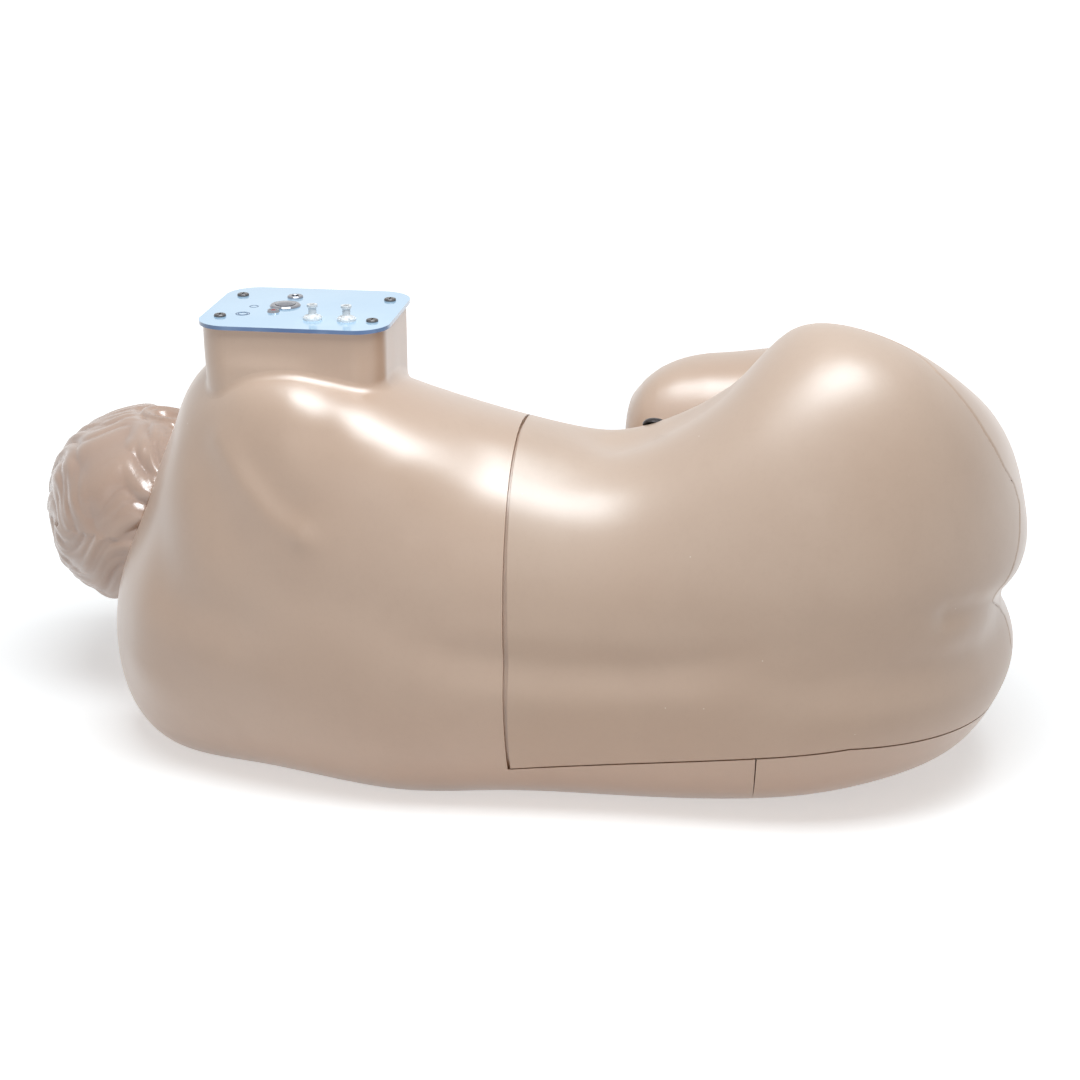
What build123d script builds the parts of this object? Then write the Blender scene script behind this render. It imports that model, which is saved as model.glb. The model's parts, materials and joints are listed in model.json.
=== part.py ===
from build123d import *
from dataclasses import dataclass
from math import copysign, cos, exp, radians, sin
import os

os.makedirs("parts", exist_ok=True)

# A lumbar puncture simulator: an adult torso lying on its left side, curled up, with its back
# towards -Y, its head towards -X and its buttocks towards +X. It rests on a flat cut at Z = 0.

# Wall, skin and joint clearances
skin_thickness = 4.0
skin_clearance = 0.3
shell_wall = 4.5
seat_gap = 0.2

# Body outline, as real heights above the table and depths
base_z = 0.0
chest_mid_z = 157.0
waist_mid_z = 144.0
chest_half_breadth = 165.0
waist_half_breadth = 147.0
hip_half_breadth = 188.0
chest_back_depth = 121.0
chest_front_depth = 108.0
waist_back_depth = 112.0
waist_front_depth = 100.0
hip_back_depth = 115.0
groin_x = 160.0
groin_y = 100.0
thigh_end_x = 64.0

# Skin outline
skin_left_x = -11.0
skin_edge_gap = 1.4
skin_bottom_left_z = 41.0
skin_bottom_mid_x = 246.0
skin_bottom_mid_z = 76.0
skin_bottom_right_z = 62.0
skin_far_top_y = 50.0
skin_far_top_z = 355.0
skin_far_slope = 0.28
skin_waist_far_y = 75.0

# Parting line of the torso and pelvis shells, turned about the groin
seam_turn = 5.0

# Shoulder stump and control panel
panel_x = -181.0
panel_y = 4.0
panel_top = 373.0
panel_length = 146.0
panel_width = 126.0
panel_thickness = 3.0
panel_corner = 26.0
panel_overhang = 3.0
stump_wall = 6.0
stump_root_z = 250.0
stump_blend = 9.0
panel_screw_pitch_x = 117.0
panel_screw_pitch_y = 66.0
screw_head_radius = 4.6
screw_head_height = 1.9
screw_radius = 2.0
screw_length = 16.0
screw_clearance = 0.25
boss_radius = 6.5
boss_depth = 34.0

# Luer ports, seen from the panel's centre
luer_x = 13.0
luer_pitch = 26.0
luer_y = -33.0
luer_flange_radius = 7.2
luer_flange_height = 2.8
luer_neck_radius = 3.0
luer_lug_radius = 4.0
luer_lug_height = 1.8
luer_height = 11.6
luer_socket_mouth = 2.13
luer_socket_radius = 2.03
luer_socket_lead = 1.7
luer_socket_depth = 7.2
luer_stem_radius = 3.1
luer_stem_length = 12.0
luer_barb_radius = 2.4
luer_barb_length = 9.0
luer_lumen = 1.2
luer_nut_flats = 9.5
luer_nut_height = 3.0

# Push button, charge lamp and charging jack, seen from the panel's centre
button_x = -17.5
button_y = 4.5
button_bezel_radius = 11.8
button_bezel_height = 1.6
button_cap_radius = 7.6
button_cap_gap = 0.3
button_cap_dome = 1.5
button_travel = 2.5
button_thread_radius = 9.4
button_body_length = 20.0
button_nut_flats = 24.0
button_nut_height = 2.5
lamp_x = -22.0
lamp_y = -14.5
lamp_bezel_radius = 4.8
lamp_bezel_height = 1.8
lamp_lens_radius = 2.6
lamp_thread_radius = 3.0
lamp_length = 12.0
lamp_nut_flats = 8.0
lamp_nut_height = 1.8
jack_x = -16.5
jack_y = 32.0
jack_flange_radius = 6.2
jack_flange_height = 1.8
jack_thread_radius = 4.0
jack_socket_radius = 2.85
jack_pin_radius = 1.0
jack_socket_depth = 9.5
jack_length = 14.0
jack_nut_flats = 11.0
jack_nut_height = 2.0

# Control box under the panel, with its electronics and its fluid reservoir
box_flange = 1.6
box_length = 98.0
box_width = 100.0
box_depth = 60.0
box_wall = 2.5
board_length = 84.0
board_width = 40.0
board_thickness = 1.6
standoff_height = 5.0
battery_cell_radius = 9.2
battery_length = 69.0
pump_motor_radius = 11.0
pump_motor_length = 27.0
pump_head_length = 20.0
pump_head_width = 24.0
reservoir_length = 92.0
reservoir_width = 76.0
reservoir_height = 46.0
reservoir_wall = 2.5
tube_wall = 1.0
tube_slip = 0.05
lead_radius = 1.1

# Lumbar module: a tray let into the back, with four vertebrae and a sacral block
spine_z = 143.0
module_left_x = 2.0
ledge_y = -94.0
ledge_thickness = 6.0
tray_wall = 3.0
tray_flange = 7.5
tray_flange_thickness = 3.0
tray_half_width = 48.0
tray_floor_y = -6.0
vertebra_height = 25.5
disc_height = 8.5
vertebra_half_width = 23.0
vertebra_depth = 33.0
vertebra_front_y = -9.4
canal_y = -52.0
canal_half_width = 11.0
canal_half_depth = 8.5
arch_wall = 5.0
spine_tip_y = -94.5
transverse_reach = 39.0
sacral_block_length = 13.0
dura_radius = 7.0
dura_wall = 1.4
fitting_flange = 2.0
fitting_grip = 11.0
fitting_port_pitch = 7.6
module_corner = 10.0
tray_screw_radius = 1.6

# Head, lying on its side with its crown towards -X and its face turned away
head_x = -348.0
head_y = 145.0
head_z = 162.0
head_pitch = 15.0
head_half_breadth = 77.0
hair_lift = 4.0
ear_spot = (-6.0, -12.0)
ear_lean = -14.0
ear_stand = 6.0
ear_half_width = 16.0
ear_half_length = 30.0

# Press stud at the far edge of the skin
snap_x = 84.0
snap_y = 47.0
snap_tilt = 32.0
snap_cap_radius = 9.5
snap_cap_height = 4.6
snap_shank_radius = 2.2
snap_socket_radius = 6.5
snap_socket_height = 3.4
snap_stud_radius = 2.4
snap_boss_radius = 11.0
snap_boss_depth = 18.0
snap_base_height = 1.0


# Body form

@dataclass
class Ring:
    """One section of the body: where it stands, and its half sizes in its own plane."""

    x: float
    y: float
    z: float
    turn: float
    lean: float
    back: float
    front: float
    up: float
    down: float
    fullness: float = 2.4
    roll: float = 0.0
    groove: float = 0.0
    groove_z: float = 0.0
    groove_width: float = 26.0

    def plane(self):
        outer = Vector(sin(radians(self.turn)), -cos(radians(self.turn)), 0)
        along = Vector(cos(radians(self.turn)), sin(radians(self.turn)), 0)
        upright = (Vector(0, 0, 1) + along * self.lean).normalized()
        return Plane(origin=(self.x, self.y, self.z), x_dir=outer, z_dir=outer.cross(upright))

    def points(self, inset):
        angles = [0, 9, 20, 34, 52, 71, 90, 112, 135, 158]
        angles += [180, 202, 225, 248, 270, 289, 308, 326, 340, 351]
        power = 2 / self.fullness
        outline = []
        for angle in angles:
            across = cos(radians(angle))
            rise = sin(radians(angle))
            depth = (self.back if across > 0 else self.front) - inset
            height = (self.up if rise > 0 else self.down) - inset
            u = depth * copysign(abs(across) ** power, across)
            v = height * copysign(abs(rise) ** power, rise)
            if rise > 0:
                v += self.roll * u * v / height
            if across > 0:
                u -= self.groove * exp(-(((v - self.groove_z) / self.groove_width) ** 2))
            outline.append((u, v))
        return outline


def hip_ring(turn, middle, back, front, z, up, down, **shape):
    """A section that stands on a plane through the groin, turned about the vertical there."""
    x = groin_x + middle * sin(radians(turn))
    y = groin_y - middle * cos(radians(turn))
    return Ring(x, y, z, turn, 0, back, front, up, down, **shape)


neck_ring = Ring(-300, 130, 190, -34, 0.22, 56, 54, 62, 62, fullness=2.0)
body_rings = [
    neck_ring,
    Ring(-296, 102, 187, -31, 0.26, 75, 70, 110, 118, fullness=2.1),
    Ring(-288, 72, 182, -26, 0.30, 98, 84, 150, 172, fullness=2.35, roll=0.12),
    Ring(-257, 44, 175, -17, 0.24, 113, 94, 172, 190, fullness=2.45, roll=0.2),
    Ring(-195, 18, 168, -8, 0.12, 119, 104, 176, 176, fullness=2.5, roll=0.22),
    Ring(-107, 2, chest_mid_z, -2, 0, chest_back_depth, chest_front_depth, chest_half_breadth, 170,
         roll=0.18),
    Ring(-28, 0, 147, 0, 0, 116, 103, 151, 156, fullness=2.3, roll=0.08, groove=5, groove_width=28),
    Ring(70, 0, waist_mid_z, 0, 0, waist_back_depth, waist_front_depth, waist_half_breadth, 152,
         fullness=2.25, groove=7),
    hip_ring(0, 100, hip_back_depth, 85, 158, hip_half_breadth, 162,
             fullness=2.3, groove=6, groove_z=-8),
    hip_ring(22, 112, 114, 93, 172, 201, 168, fullness=2.3, groove=8, groove_z=-28),
    hip_ring(48, 121, 112, 100, 172, 192, 161, groove=12, groove_z=-34),
    hip_ring(76, 115, 108, 92, 164, 163, 156, fullness=2.4, groove=24, groove_z=-14, groove_width=20),
    hip_ring(104, 103, 99, 82, 160, 153, 146, fullness=2.3, groove=22, groove_z=-8),
    hip_ring(163, 80, 74, 68, 154, 152, 152, groove=10, groove_z=-14),
    Ring(120, 182, 150, 170, 0, 72, 66, 152, 152, fullness=2.5, groove=9, groove_z=-10),
    Ring(thigh_end_x, 188, 142, 174, 0, 66, 62, 136, 142, fullness=2.5, groove=8, groove_z=-8),
]


def body_form(inset):
    """The whole body from the neck to the thigh ends, drawn in by an even inset."""
    with BuildPart() as form:
        for ring in body_rings:
            with BuildSketch(ring.plane()):
                with BuildLine():
                    Spline(*ring.points(inset), periodic=True)
                make_face()
        loft()
    return form.part


reach = 500.0
seam_out = (groin_x + reach * sin(radians(seam_turn)), groin_y - reach * cos(radians(seam_turn)))
belly_gap_x = thigh_end_x - 14
belly_gap_y = groin_y + 13

with BuildSketch(Plane.XY.offset(-reach)) as torso_plan:
    with BuildLine():
        Polyline((-reach, seam_out[1]), seam_out, (groin_x, groin_y), (belly_gap_x, belly_gap_y),
                 (belly_gap_x, reach), (-reach, reach), close=True)
    make_face()

with BuildPart() as torso_side:
    add(torso_plan.sketch)
    extrude(amount=2 * reach, dir=(0, 0, 1))

outer_form = body_form(0)
under_skin = skin_thickness + skin_clearance
under_skin_form = body_form(under_skin)
skin_inner_form = body_form(skin_thickness)
cavity_inset = under_skin + shell_wall
cavity_form = body_form(cavity_inset)


def skin_far_y(z):
    return skin_far_top_y + skin_far_slope * (skin_far_top_z - z)


def skin_region(margin):
    """The space in which the skin lies, grown all round by a margin."""
    far = reach + skin_left_x
    with BuildPart() as region:
        with BuildSketch(Plane.YZ.offset(skin_left_x - margin)):
            with BuildLine():
                Polyline((-reach, base_z), (skin_far_y(base_z) + margin, base_z),
                         (skin_far_y(reach) + margin, reach), (-reach, reach), close=True)
            make_face()
        extrude(amount=far)
        with BuildSketch(Plane.XY):
            with BuildLine():
                Polyline((-reach, skin_waist_far_y + margin), (groin_x, skin_waist_far_y + margin),
                         (groin_x, reach), (-reach, reach), close=True)
            make_face()
        extrude(amount=reach, mode=Mode.SUBTRACT)
        with BuildSketch(Plane.XZ.offset(-reach)):
            with BuildLine():
                Polyline((-reach, -reach), (reach, -reach), (reach, skin_bottom_right_z - margin),
                         (skin_bottom_mid_x, skin_bottom_mid_z - margin),
                         (skin_left_x, skin_bottom_left_z - margin),
                         (-reach, skin_bottom_left_z - margin), close=True)
            make_face()
        extrude(amount=2 * reach, mode=Mode.SUBTRACT)
    return region.part


# Module frame in the back: a flat ledge, a pocket for the tray's flange and a window

module_length = 4 * vertebra_height + 4 * disc_height + sacral_block_length
tray_inner_left = module_left_x + tray_flange + tray_wall
tray_inner_right = tray_inner_left + module_length
tray_left = tray_inner_left - tray_wall
tray_right = tray_inner_right + tray_wall
module_right_x = tray_right + tray_flange
module_half_height = tray_half_width + tray_wall + tray_flange
module_mid_x = (module_left_x + module_right_x) / 2
pocket_gap = 0.5

snap_normal = Vector(0, sin(radians(snap_tilt)), cos(radians(snap_tilt)))
waist_profile = 1 - (snap_y / waist_front_depth) ** 2.25
snap_z = waist_mid_z + waist_half_breadth * waist_profile ** (1 / 2.25) - 0.6
snap_grip = skin_thickness - 0.4
snap_floor = snap_grip + snap_socket_height + seat_gap + snap_base_height
snap_plane = Plane(origin=(snap_x, snap_y, snap_z), x_dir=(1, 0, 0), z_dir=snap_normal)


def module_block(front_y, back_y, grow):
    """A box across the module, from front_y (nearer the belly) to back_y, grown at its sides."""
    with BuildPart() as block:
        with BuildSketch(Plane.XZ.offset(-front_y)):
            with Locations((module_mid_x, spine_z)):
                RectangleRounded(module_right_x - module_left_x + 2 * grow,
                                 2 * module_half_height + 2 * grow, module_corner + grow)
        extrude(amount=front_y - back_y)
    return block.part


with BuildPart() as cavity:
    add(cavity_form)
    with Locations((0, 0, base_z + cavity_inset)):
        Box(3 * reach, 3 * reach, reach, align=(Align.CENTER, Align.CENTER, Align.MAX),
            mode=Mode.SUBTRACT)
    with Locations((neck_ring.x + 34, 0, 0)):
        Box(reach, 3 * reach, 3 * reach, align=(Align.MAX, Align.CENTER, Align.CENTER),
            mode=Mode.SUBTRACT)
    add(module_block(ledge_y + ledge_thickness, -reach, 4), mode=Mode.SUBTRACT)
    with BuildSketch(snap_plane.offset(-snap_boss_depth)):
        Circle(snap_boss_radius)
    extrude(amount=snap_boss_depth, mode=Mode.SUBTRACT)

stump_length = panel_length - 2 * panel_overhang
stump_width = panel_width - 2 * panel_overhang
stump_corner = panel_corner - panel_overhang
panel_base = panel_top - panel_thickness
screw_spots = [(side * panel_screw_pitch_x / 2, end * panel_screw_pitch_y / 2)
               for side in (-1, 1) for end in (-1, 1)]

# Torso shell: hollow, with the stump's open rim, the screw bosses and the module's window

box_opening_length = stump_length - 2 * stump_wall
box_opening_width = stump_width - 2 * stump_wall
rebate_length = box_opening_length + stump_wall
rebate_width = box_opening_width + stump_wall
screw_hole_radius = screw_radius + seat_gap / 2
tray_screw_hole = tray_screw_radius + seat_gap / 2
tray_screw_pitch_x = (module_right_x - module_left_x - 2 * tray_flange) / 2
tray_screw_pitch_z = 2 * module_half_height - tray_flange


def across_stump(depth):
    """The panel's own plane, lowered by a depth."""
    return Plane((panel_x, panel_y, panel_top - depth))


with BuildPart() as torso_shell:
    add(outer_form)
    with Locations((0, 0, base_z)):
        Box(3 * reach, 3 * reach, reach, align=(Align.CENTER, Align.CENTER, Align.MAX),
            mode=Mode.SUBTRACT)
    add(torso_side.part, mode=Mode.INTERSECT)
    with BuildSketch(across_stump(panel_top - stump_root_z)):
        RectangleRounded(stump_length, stump_width, stump_corner)
    extrude(amount=panel_base - stump_root_z)
    root_edges = torso_shell.part.edges().filter_by(
        lambda edge: edge.geom_type not in (GeomType.LINE, GeomType.CIRCLE)
        and edge.center().Z > stump_root_z
        and abs(edge.center().X - panel_x) < stump_length / 2 + 2
        and abs(edge.center().Y - panel_y) < stump_width / 2 + 2)
    fillet(root_edges, stump_blend)
    add(skin_region(skin_edge_gap) - under_skin_form, mode=Mode.SUBTRACT)
    add(cavity.part, mode=Mode.SUBTRACT)
    with BuildSketch(across_stump(panel_thickness)):
        RectangleRounded(box_opening_length, box_opening_width, stump_corner - stump_wall)
        with Locations(*screw_spots):
            Circle(boss_radius, mode=Mode.SUBTRACT)
        with GridLocations(panel_screw_pitch_x + 2 * boss_radius, panel_screw_pitch_y, 2, 2):
            Rectangle(2 * boss_radius, 2 * boss_radius, mode=Mode.SUBTRACT)
    extrude(amount=stump_root_z - panel_base, mode=Mode.SUBTRACT)
    with BuildSketch(across_stump(panel_thickness)):
        RectangleRounded(rebate_length, rebate_width, stump_corner - stump_wall / 2)
    extrude(amount=-box_flange, mode=Mode.SUBTRACT)
    with BuildSketch(across_stump(panel_thickness)):
        with Locations(*screw_spots):
            Circle(screw_hole_radius)
    extrude(amount=-screw_length, mode=Mode.SUBTRACT)
    with BuildSketch(across_stump(panel_thickness + boss_depth)):
        RectangleRounded(box_opening_length, box_opening_width, stump_corner - stump_wall)
    extrude(amount=stump_root_z - panel_base + boss_depth, mode=Mode.SUBTRACT)
    add(module_block(ledge_y, -reach / 4, pocket_gap), mode=Mode.SUBTRACT)
    add(module_block(ledge_y + 2 * ledge_thickness, ledge_y, pocket_gap - tray_flange),
        mode=Mode.SUBTRACT)
    with BuildSketch(Plane.XZ.offset(-ledge_y)):
        with Locations((module_mid_x, spine_z)):
            with GridLocations(tray_screw_pitch_x, tray_screw_pitch_z, 3, 2):
                Circle(tray_screw_hole)
    extrude(amount=-ledge_thickness, mode=Mode.SUBTRACT)
    with BuildSketch(snap_plane.offset(-snap_floor)):
        Circle(snap_socket_radius + 1)
    extrude(amount=snap_floor, mode=Mode.SUBTRACT)
    with BuildSketch(snap_plane.offset(-snap_floor)):
        Circle(snap_shank_radius + seat_gap)
    extrude(amount=snap_floor - snap_boss_depth, mode=Mode.SUBTRACT)

# Pelvis shell: hips, buttocks and both thighs, cut off above the knee and closed

with BuildPart() as pelvis_shell:
    add(outer_form)
    with Locations((0, 0, base_z)):
        Box(3 * reach, 3 * reach, reach, align=(Align.CENTER, Align.CENTER, Align.MAX),
            mode=Mode.SUBTRACT)
    add(torso_side.part, mode=Mode.SUBTRACT)
    add(skin_region(skin_edge_gap) - under_skin_form, mode=Mode.SUBTRACT)

# Soft skin over the loin and buttocks

with BuildPart() as lumbar_skin:
    add(outer_form)
    add(skin_region(0), mode=Mode.INTERSECT)
    add(skin_inner_form, mode=Mode.SUBTRACT)
    with BuildSketch(snap_plane):
        Circle(snap_cap_radius + 0.5)
    extrude(amount=10, mode=Mode.SUBTRACT)
    with BuildSketch(snap_plane):
        Circle(snap_shank_radius + seat_gap)
    extrude(amount=-2 * skin_thickness, mode=Mode.SUBTRACT)
    with BuildSketch(snap_plane.offset(-snap_grip)):
        Circle(snap_socket_radius + 0.5)
    extrude(amount=-skin_thickness, mode=Mode.SUBTRACT)

# Control panel and what is screwed to it

luer_spots = [(luer_x, luer_y), (luer_x + luer_pitch, luer_y)]
hole_gap = screw_clearance

with BuildPart() as control_panel:
    with BuildSketch(across_stump(panel_thickness)):
        RectangleRounded(panel_length, panel_width, panel_corner)
        with Locations(*screw_spots):
            Circle(screw_radius + hole_gap, mode=Mode.SUBTRACT)
        with Locations(*luer_spots):
            Circle(luer_stem_radius + hole_gap, mode=Mode.SUBTRACT)
        with Locations((button_x, button_y)):
            Circle(button_thread_radius + hole_gap, mode=Mode.SUBTRACT)
        with Locations((lamp_x, lamp_y)):
            Circle(lamp_thread_radius + hole_gap, mode=Mode.SUBTRACT)
        with Locations((jack_x, jack_y)):
            Circle(jack_thread_radius + hole_gap, mode=Mode.SUBTRACT)
    extrude(amount=panel_thickness)

with BuildPart() as panel_screws:
    with BuildSketch(across_stump(0)):
        with Locations(*screw_spots):
            Circle(screw_head_radius)
    extrude(amount=screw_head_height)
    fillet(panel_screws.edges().group_by(Axis.Z)[-1], screw_head_height * 0.6)
    with BuildSketch(across_stump(-screw_head_height)):
        with Locations(*screw_spots):
            Rectangle(screw_head_radius, screw_radius / 2)
            Rectangle(screw_radius / 2, screw_head_radius)
    extrude(amount=-screw_head_height * 0.6, mode=Mode.SUBTRACT)
    with BuildSketch(across_stump(0)):
        with Locations(*screw_spots):
            Circle(screw_radius)
    extrude(amount=-screw_length)


def upright_plane(x, y):
    """A vertical plane through a spot on the panel, for profiles turned about that spot."""
    return Plane(origin=(panel_x + x, panel_y + y, panel_top), x_dir=(1, 0, 0), z_dir=(0, -1, 0))


def dome_arc(radius, height, rise):
    """A round cap's profile, from its rim to its top on the axis."""
    ball = (radius ** 2 + rise ** 2) / (2 * rise)
    middle = height + rise - ball + (ball ** 2 - (radius / 2) ** 2) ** 0.5
    ThreePointArc((radius, height), (radius / 2, middle), (0, height + rise))


def spot_axis(x, y):
    return Axis((panel_x + x, panel_y + y, panel_top), (0, 0, 1))


def luer_port(x, y):
    """A bulkhead luer socket: lugged neck and flange above the panel, stem and barb below."""
    barb_end = -luer_stem_length - luer_barb_length
    waist = luer_barb_radius - 0.5
    step = luer_barb_length / 3
    with BuildPart() as port:
        with BuildSketch(upright_plane(x, y)):
            with BuildLine():
                Polyline((0, barb_end), (waist, barb_end), (luer_barb_radius, barb_end + step),
                         (waist, barb_end + step + 0.3), (luer_barb_radius, barb_end + 2 * step),
                         (waist, barb_end + 2 * step + 0.3), (waist, -luer_stem_length),
                         (luer_stem_radius, -luer_stem_length), (luer_stem_radius, 0),
                         (luer_flange_radius, 0), (luer_flange_radius, luer_flange_height * 0.6),
                         (luer_flange_radius - 0.9, luer_flange_height),
                         (luer_lug_radius + 0.6, luer_flange_height),
                         (luer_neck_radius, luer_flange_height + 1.6),
                         (luer_neck_radius, luer_height - luer_lug_height - 0.6),
                         (luer_lug_radius, luer_height - luer_lug_height),
                         (luer_lug_radius, luer_height), (0, luer_height), close=True)
            make_face()
        revolve(axis=spot_axis(x, y))
        with BuildSketch(upright_plane(x, y)):
            with BuildLine():
                Polyline((0, barb_end), (luer_lumen, barb_end),
                         (luer_lumen, luer_height - luer_socket_depth),
                         (luer_socket_radius, luer_height - luer_socket_depth),
                         (luer_socket_radius, luer_height - luer_socket_lead),
                         (luer_socket_mouth, luer_height), (0, luer_height), close=True)
            make_face()
        revolve(axis=spot_axis(x, y), mode=Mode.SUBTRACT)
        with BuildSketch(Plane((panel_x + x, panel_y + y, panel_top + luer_flange_height * 0.6))):
            with PolarLocations(luer_flange_radius, 6):
                Circle(1.1)
        extrude(amount=luer_flange_height, mode=Mode.SUBTRACT)
    return port.part


with BuildPart() as luer_inlet:
    add(luer_port(*luer_spots[0]))

with BuildPart() as luer_outlet:
    add(luer_port(*luer_spots[1]))


def hex_nut(spots, flats, bore, height):
    """Hexagon nuts drawn up under the panel."""
    with BuildPart() as nut:
        with BuildSketch(across_stump(panel_thickness)):
            with Locations(*spots):
                RegularPolygon(flats / 2, 6, major_radius=False)
                Circle(bore + seat_gap / 2, mode=Mode.SUBTRACT)
        extrude(amount=-height)
    return nut.part


with BuildPart() as luer_nuts:
    add(hex_nut(luer_spots, luer_nut_flats, luer_stem_radius, luer_nut_height))

with BuildPart() as button_nut:
    add(hex_nut([(button_x, button_y)], button_nut_flats, button_thread_radius, button_nut_height))

with BuildPart() as lamp_nut:
    add(hex_nut([(lamp_x, lamp_y)], lamp_nut_flats, lamp_thread_radius, lamp_nut_height))

with BuildPart() as jack_nut:
    add(hex_nut([(jack_x, jack_y)], jack_nut_flats, jack_thread_radius, jack_nut_height))

button_bore = button_cap_radius + button_cap_gap
button_skirt = 3.0
button_bore_depth = button_skirt + button_travel + 0.5

with BuildPart() as button_housing:
    with BuildSketch(upright_plane(button_x, button_y)):
        with BuildLine():
            Polyline((0, -button_body_length), (button_thread_radius - 0.8, -button_body_length),
                     (button_thread_radius, -button_body_length + 0.8), (button_thread_radius, 0),
                     (button_bezel_radius, 0), (button_bezel_radius, button_bezel_height * 0.4),
                     (button_bezel_radius - 1.0, button_bezel_height),
                     (button_bore, button_bezel_height), (button_bore, -button_bore_depth),
                     (0, -button_bore_depth), close=True)
        make_face()
    revolve(axis=spot_axis(button_x, button_y))

with BuildPart() as button_cap:
    with BuildSketch(upright_plane(button_x, button_y)):
        with BuildLine():
            Polyline((0, -button_skirt), (button_cap_radius, -button_skirt),
                     (button_cap_radius, button_bezel_height + 0.3))
            dome_arc(button_cap_radius, button_bezel_height + 0.3, button_cap_dome)
            Line((0, button_bezel_height + 0.3 + button_cap_dome), (0, -button_skirt))
        make_face()
    revolve(axis=spot_axis(button_x, button_y))

with BuildPart() as lamp_bezel:
    with BuildSketch(upright_plane(lamp_x, lamp_y)):
        with BuildLine():
            Polyline((0, -lamp_length), (lamp_thread_radius, -lamp_length), (lamp_thread_radius, 0),
                     (lamp_bezel_radius, 0), (lamp_bezel_radius - 0.6, lamp_bezel_height),
                     (lamp_lens_radius + 0.6, lamp_bezel_height), (lamp_lens_radius, 0.4),
                     (lamp_lens_radius, -2), (0, -2), close=True)
        make_face()
    revolve(axis=spot_axis(lamp_x, lamp_y))

with BuildPart() as lamp_lens:
    with BuildSketch(upright_plane(lamp_x, lamp_y)):
        with BuildLine():
            Polyline((0, -2), (lamp_lens_radius - tube_slip, -2),
                     (lamp_lens_radius - tube_slip, lamp_bezel_height * 0.4))
            dome_arc(lamp_lens_radius - tube_slip, lamp_bezel_height * 0.4, lamp_bezel_height * 0.8)
            Line((0, lamp_bezel_height * 1.2), (0, -2))
        make_face()
    revolve(axis=spot_axis(lamp_x, lamp_y))

with BuildPart() as charge_jack:
    with BuildSketch(upright_plane(jack_x, jack_y)):
        with BuildLine():
            Polyline((0, -jack_length), (jack_thread_radius, -jack_length), (jack_thread_radius, 0),
                     (jack_flange_radius, 0), (jack_flange_radius, jack_flange_height * 0.6),
                     (jack_flange_radius - 0.7, jack_flange_height),
                     (jack_socket_radius + 0.4, jack_flange_height),
                     (jack_socket_radius, jack_flange_height - 0.4),
                     (jack_socket_radius, jack_flange_height - jack_socket_depth),
                     (jack_pin_radius, jack_flange_height - jack_socket_depth),
                     (jack_pin_radius, -0.5), (0, 0), close=True)
        make_face()
    revolve(axis=spot_axis(jack_x, jack_y))

# Control box, hung under the panel in the stump, with the electronics and the pump

box_floor = panel_thickness + box_depth - box_wall
tube_bore = luer_barb_radius + tube_slip
tube_radius = tube_bore + tube_wall
pump_x = -45.0
pump_y = -33.0
pump_port_pitch = 10.0
pump_port_length = 7.0
pump_head_x = pump_x + pump_motor_length
reservoir_x = -8.0
feed_spot = (-40.0, -8.0)
supply_spot = (41.0, -8.0)
board_x = 0.0
board_y = 18.0
board_hole_x = board_length - 7
board_hole_y = board_width - 8
board_lift = 2 * battery_cell_radius + standoff_height
battery_y = 26.0
board_screw_radius = 1.3

with BuildPart() as control_box:
    with BuildSketch(across_stump(panel_thickness)):
        RectangleRounded(rebate_length - 2 * seat_gap, rebate_width - 2 * seat_gap,
                         stump_corner - stump_wall / 2 - seat_gap)
        with Locations(*screw_spots):
            Circle(screw_radius + hole_gap, mode=Mode.SUBTRACT)
    extrude(amount=-box_flange)
    with BuildSketch(across_stump(panel_thickness)):
        RectangleRounded(box_length, box_width, 7)
    extrude(amount=-box_depth)
    with BuildSketch(across_stump(panel_thickness)):
        RectangleRounded(box_length - 2 * box_wall, box_width - 2 * box_wall, 7 - box_wall)
    extrude(amount=box_wall - box_depth, mode=Mode.SUBTRACT)
    with BuildSketch(across_stump(box_floor)):
        with Locations((board_x, board_y)):
            with GridLocations(board_hole_x, board_hole_y, 2, 2):
                Circle(2 * board_screw_radius)
    extrude(amount=board_lift)
    with BuildSketch(across_stump(box_floor - board_lift)):
        with Locations((board_x, board_y)):
            with GridLocations(board_hole_x, board_hole_y, 2, 2):
                Circle(board_screw_radius + seat_gap / 2)
    extrude(amount=-standoff_height - 4, mode=Mode.SUBTRACT)
    with BuildSketch(across_stump(box_floor)):
        with Locations(*luer_spots, feed_spot, supply_spot):
            Circle(tube_radius + hole_gap)
    extrude(amount=-box_wall, mode=Mode.SUBTRACT)

with BuildPart() as circuit_board:
    with BuildSketch(across_stump(box_floor - board_lift)):
        with Locations((board_x, board_y)):
            RectangleRounded(board_length, board_width, 2)
            with GridLocations(board_hole_x, board_hole_y, 2, 2):
                Circle(board_screw_radius + hole_gap, mode=Mode.SUBTRACT)
    extrude(amount=board_thickness)
    board_top = box_floor - board_lift - board_thickness
    with BuildSketch(across_stump(board_top)):
        with Locations((board_x + 8, board_y - 6)):
            Rectangle(14, 14)
        with Locations((board_x + 25, board_y + 8)):
            Rectangle(9, 6)
    extrude(amount=2.2)
    with BuildSketch(across_stump(board_top)):
        with Locations((board_x - 26, board_y + 10), (board_x + 25, board_y - 9)):
            Circle(3.6)
    extrude(amount=7)

with BuildPart() as board_screws:
    with BuildSketch(across_stump(board_top)):
        with Locations((board_x, board_y)):
            with GridLocations(board_hole_x, board_hole_y, 2, 2):
                Circle(2 * board_screw_radius)
    extrude(amount=1.4)
    with BuildSketch(across_stump(board_top)):
        with Locations((board_x, board_y)):
            with GridLocations(board_hole_x, board_hole_y, 2, 2):
                Circle(board_screw_radius)
    extrude(amount=-board_thickness - standoff_height)

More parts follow.
